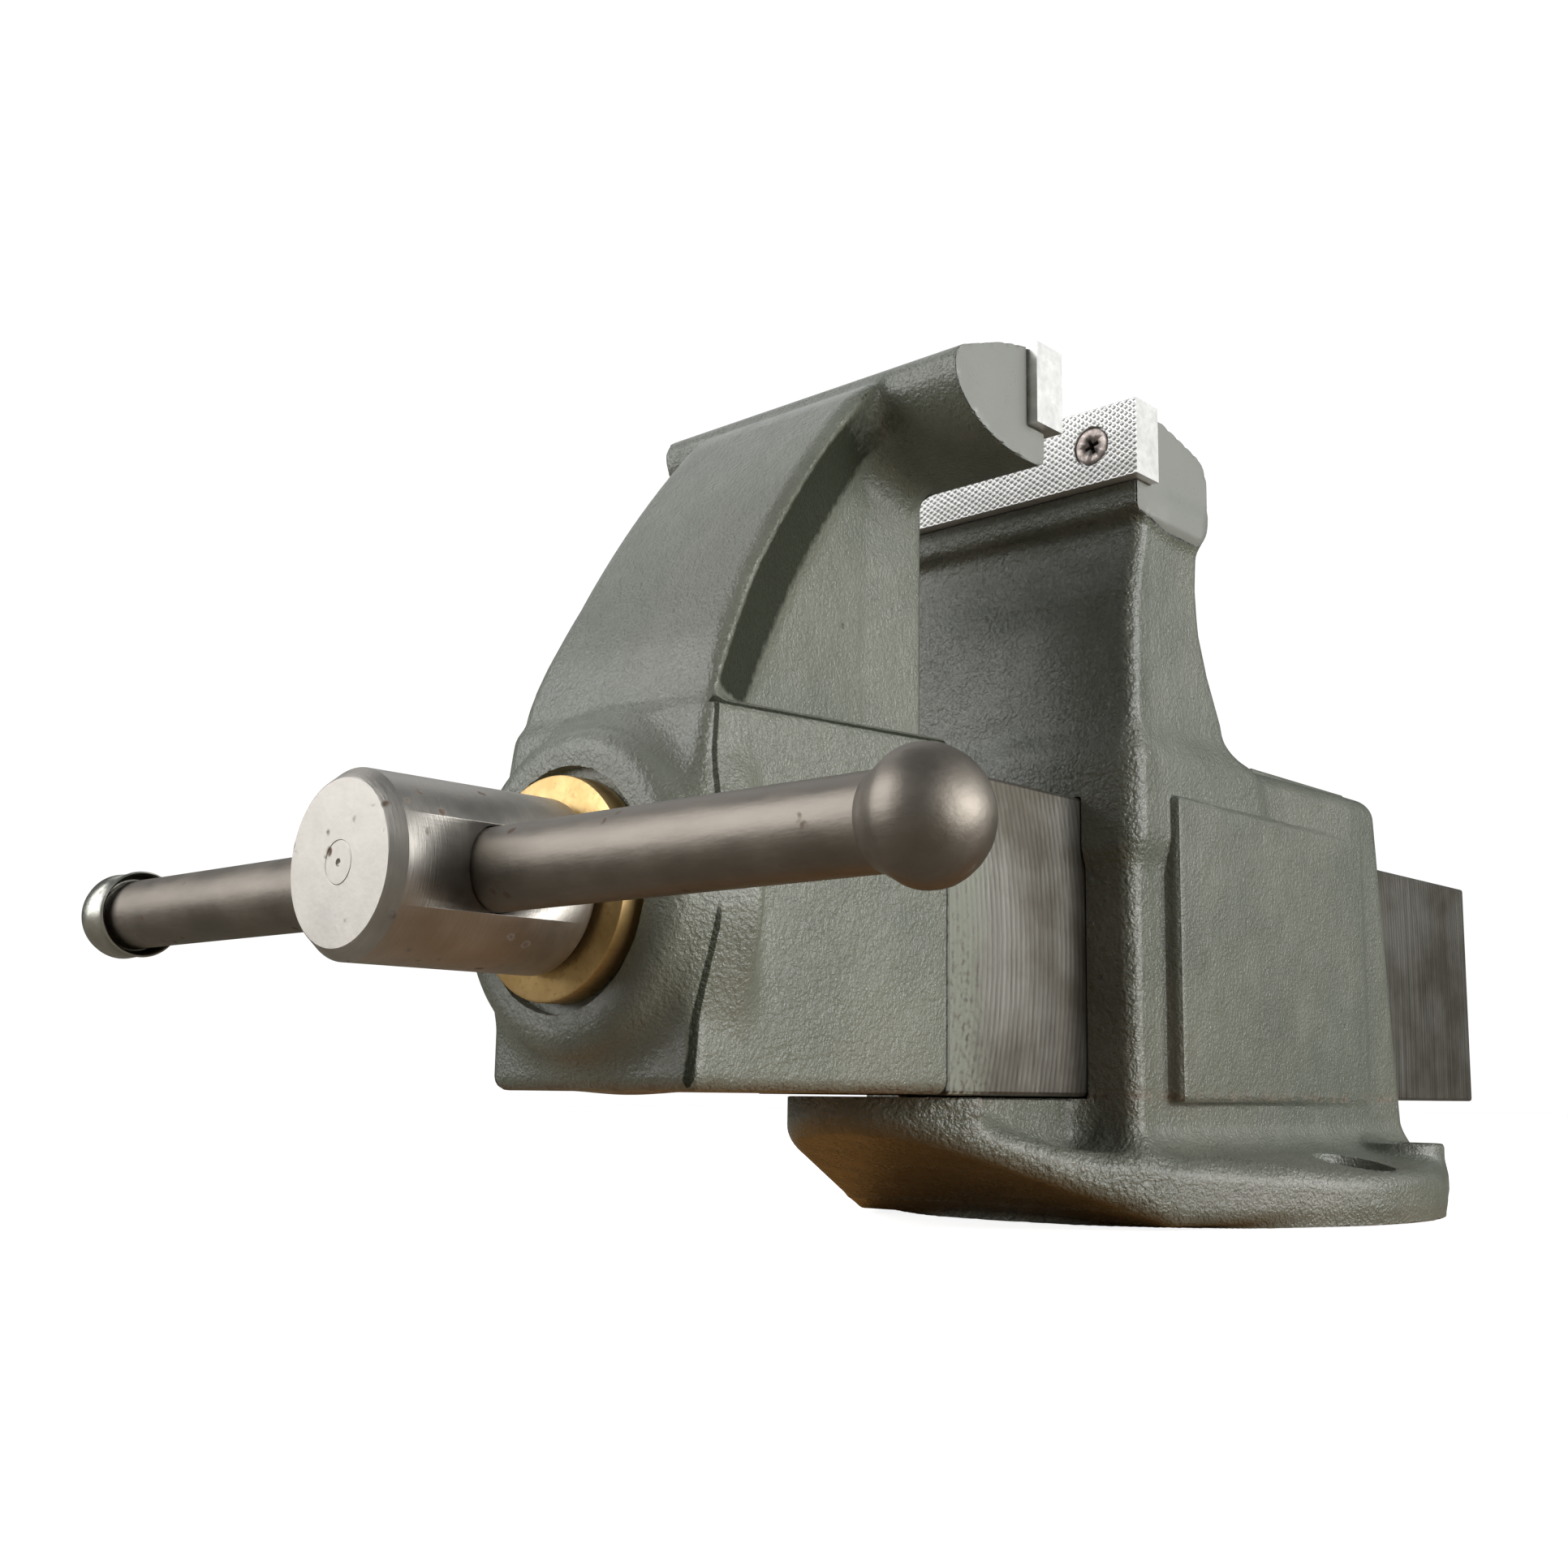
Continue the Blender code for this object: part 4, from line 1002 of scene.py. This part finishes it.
def spindle_head():
    """The spindle's head with its wide chamfer, centre mark and cross hole, and its journal."""
    front = HEAD_LOW[1]
    profile = [(front + 1.0, 0.0), (front + 0.3, 0.7), (front, 1.0), (front, 1.4), (front, 5.0),
               (front + 0.12, 5.2), (front, 5.4), (front, 5.9), (front, 19.2), (front, 19.7),
               (front + 0.25, 20.1), (front + 3.0, 22.2), (front + 3.5, HEAD_RADIUS),
               (HEAD_BACK - 1.7, HEAD_RADIUS), (HEAD_BACK - 0.9, HEAD_RADIUS - 0.2),
               (HEAD_BACK, HEAD_RADIUS - 1.0), (HEAD_BACK, JOURNAL_RADIUS),
               (JOURNAL_END - 1.0, JOURNAL_RADIUS), (JOURNAL_END, 11.5), (JOURNAL_END, 0.0)]
    head = from_bmesh("spindle_head", lathe("Y", (0, 0, AXIS_Z), profile, 128), SPINDLE_STEEL, 30)
    eye_radius = ROD_RADIUS + 0.45
    hole = [(-30.0, 0.0), (-30.0, eye_radius), (30.0, eye_radius), (30.0, 0.0)]
    eye = from_bmesh("eye", lathe("X", (0, HANDLE_Y, AXIS_Z), hole, 96), SPINDLE_STEEL)
    return cut_with(head, eye)


place(spindle_head(), "spindle", "spindle_screw")
thread = acme_thread("spindle_thread", JOURNAL_END + 0.3, HEAD_HIGH[1], major=12.4, minor=9.4,
                     pitch=6.35, material=SPINDLE_STEEL)
place(thread, "spindle", "spindle_screw")

rod_start, rod_end = ROD_LOW[0], ROD_HIGH[0]
rod_profile = [(rod_start, 0.0), (rod_start, 9.2), (rod_start + 0.9, ROD_RADIUS),
               (rod_end - 0.9, ROD_RADIUS), (rod_end, 9.2), (rod_end, 0.0)]
rod = lathe("X", (0, HANDLE_Y, AXIS_Z), rod_profile, 96)
place(from_bmesh("handle_bar", rod, HANDLE_STEEL), "handle", "handle_rod")

# Height and relative radius from the root of a handle end to its tip.
BALL_SKIN = [(7.0, 0.72), (7.4, 0.745), (9.0, 0.79), (11.5, 0.88), (13.8, 0.965), (15.0, 0.99), (16.2, 1.0),
             (18.0, 1.0), (19.6, 0.985), (21.6, 0.93), (23.8, 0.84), (25.8, 0.72), (27.6, 0.56), (29.0, 0.36),
             (29.8, 0.16), (30.0, 0.0)]
# The left cap takes the brightened steel, as painted light.
for label, direction, radius, steel in (("left", -1, 12.9, LIT_CAP_STEEL), ("right", 1, 14.0, HANDLE_STEEL)):
    low, high = box_mm("handle_ball_" + label)
    start = low[0] if direction > 0 else high[0]
    bore = ROD_RADIUS + 0.15
    profile = [(18.4, 0.0), (18.4, bore)]
    if direction > 0:
        profile += [(6.9, bore)] + [(height, radius * part) for height, part in BALL_SKIN]
    else:
        profile += [(12.5, bore), (12.5, bore + 0.4), (8.0, radius - 1.1), (7.6, radius - 0.6)]
        profile += [(8.2, radius - 0.1)]
        profile += [(height, radius * part) for height, part in BALL_SKIN if height > 10.0 and part < 0.99]
    profile = [(start + direction * height, edge) for height, edge in profile]
    ball = from_bmesh("handle_end_" + label, lathe("X", (0, HANDLE_Y, AXIS_Z), profile, 96), steel, 60)
    place(ball, "handle", "handle_ball_" + label)

collar_front, collar_back = COLLAR_LOW[1], COLLAR_HIGH[1]
collar_bore = JOURNAL_RADIUS + 0.5
collar_profile = [(collar_front, collar_bore), (collar_front, 28.5), (collar_front + 0.25, 29.0),
                  (collar_front + 0.8, 29.2), (collar_back - 0.4, 29.2), (collar_back, 28.8),
                  (collar_back, collar_bore), (collar_front, collar_bore)]
collar = from_bmesh("bronze_collar", lathe("Y", (0, 0, AXIS_Z), collar_profile, 128), BRONZE)
place(collar, "moving_jaw", "thrust_collar")

# CAD nodes that keep their own shape and only get a new look.
KEPT = {"slide_bar": BAR_STEEL, "nut_bolt": DARK_STEEL}
for name in ("screw_nut", "nut_bolt_washer", "retaining_washer", "retaining_collar", "collar_pin",
             "bar_pin_front", "bar_pin_rear"):
    KEPT[name] = INNER_STEEL
for name, material in KEPT.items():
    NODES[name].data.materials.clear()
    NODES[name].data.materials.append(material)


# ---------------- stage, lights and camera


def show_apart(tree, seen, felt, output):
    """Show the camera one shader, and light the object with another."""
    path = add_node(tree, "LightPath")
    choose = add_node(tree, "MixShader", Fac=path.outputs["Is Camera Ray"])
    tree.links.new(felt, choose.inputs[1])
    tree.links.new(seen, choose.inputs[2])
    tree.links.new(choose.outputs["Shader"], tree.nodes[output].inputs["Surface"])


def stage_floor():
    """A pale floor that throws back a weak warm light, browner under the nose of the vise."""
    mesh = bpy.data.meshes.new("floor")
    mesh.from_pydata([(-6, -6, 0), (6, -6, 0), (6, 9, 0), (-6, 9, 0)], [], [(0, 1, 2, 3)])
    floor = bpy.data.objects.new("floor", mesh)
    bpy.context.scene.collection.objects.link(floor)
    floor.location.z = -0.0004
    look = Look("pale_floor", (0.86, 0.855, 0.84), 0.9)
    tree = look.tree
    away = look.node("VectorMath")
    away.operation = "DISTANCE"
    fill(tree, away.inputs[0], look.place)
    away.inputs[1].default_value = (0.03, -0.12, 0.0)
    tint = look.mix(look.remap(away.outputs["Value"], 0.11, 0.22), (0.50, 0.24, 0.07), (0.30, 0.27, 0.225))
    warm = look.node("BsdfDiffuse", Color=tint)
    glow = look.node("Emission", Color=(1, 1, 1, 1), Strength=0.86)
    both = look.node("AddShader")
    tree.links.new(look.shader.outputs["BSDF"], both.inputs[0])
    tree.links.new(glow.outputs["Emission"], both.inputs[1])
    show_apart(tree, both.outputs["Shader"], warm.outputs["BSDF"], "Material Output")
    mesh.materials.append(look.material)
    floor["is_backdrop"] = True


def studio_world():
    """White where the camera looks, and a soft grey studio for the light and the reflections."""
    world = bpy.data.worlds.new("studio")
    bpy.context.scene.world = world
    world.use_nodes = True
    tree = world.node_tree
    coords = add_node(tree, "TexCoord")
    split = add_node(tree, "SeparateXYZ", Vector=coords.outputs["Generated"])
    rise = add_node(tree, "MapRange", Value=split.outputs["Z"], From_Min=-1.0)
    ramp = add_node(tree, "ValToRGB", Fac=rise.outputs["Result"])
    stops = ramp.color_ramp.elements
    stops[0].position, stops[0].color = 0.42, (0.05, 0.045, 0.03, 1)
    stops[1].position, stops[1].color = 0.95, (0.40, 0.41, 0.42, 1)
    stops.new(0.62).color = (0.12, 0.125, 0.118, 1)
    soft = add_node(tree, "Background", Color=ramp.outputs["Color"], Strength=0.5)
    white = add_node(tree, "Background", Color=(1, 1, 1, 1), Strength=1.05)
    show_apart(tree, white.outputs["Background"], soft.outputs["Background"], "World Output")


def soft_light(name, place_at, target, width, height, energy, colour=(1, 1, 1)):
    """A rectangular softbox that looks at a point."""
    light = bpy.data.lights.new(name, "AREA")
    light.shape = "RECTANGLE"
    light.size = width
    light.size_y = height
    light.energy = energy
    light.color = colour
    obj = bpy.data.objects.new(name, light)
    obj.location = place_at
    obj.rotation_euler = (Vector(target) - Vector(place_at)).to_track_quat("-Z", "Y").to_euler()
    bpy.context.scene.collection.objects.link(obj)


def photo_camera():
    """The camera low on the right of the spindle head, looking up along the jaw."""
    data = bpy.data.cameras.new("camera")
    data.sensor_width = 36.0
    data.lens = 40.165
    data.shift_x = -0.0445
    data.shift_y = 0.0258
    data.clip_start = 0.01
    camera = bpy.data.objects.new("camera", data)
    right = Vector((0.755359, 0.655255, 0.008593))
    forward = Vector((-0.648382, 0.745405, 0.154830))
    up = right.cross(forward)
    axes = Matrix((right, up, -forward)).transposed().to_4x4()
    camera.matrix_world = Matrix.Translation((0.349268, -0.576955, 0.039182)) @ axes
    bpy.context.scene.collection.objects.link(camera)
    bpy.context.scene.camera = camera


stage_floor()
studio_world()
soft_light("right_key", (1.5, 0.22, 0.31), (0, -0.02, 0.13), 1.3, 1.0, 32.0, (1.0, 1.0, 0.985))
soft_light("rear_right", (1.35, 1.25, 0.95), (0, -0.05, 0.14), 1.6, 1.3, 5.0, (0.985, 1.0, 0.99))
soft_light("top_left", (-1.0, 0.35, 1.45), (0, -0.2, 0.14), 1.5, 1.2, 4.0)
soft_light("front_left", (-1.15, -1.85, 1.05), (0, -0.15, 0.12), 2.3, 1.9, 47.0)
photo_camera()
bpy.context.scene.view_settings.view_transform = "Standard"

low, high = [list(corner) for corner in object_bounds()]
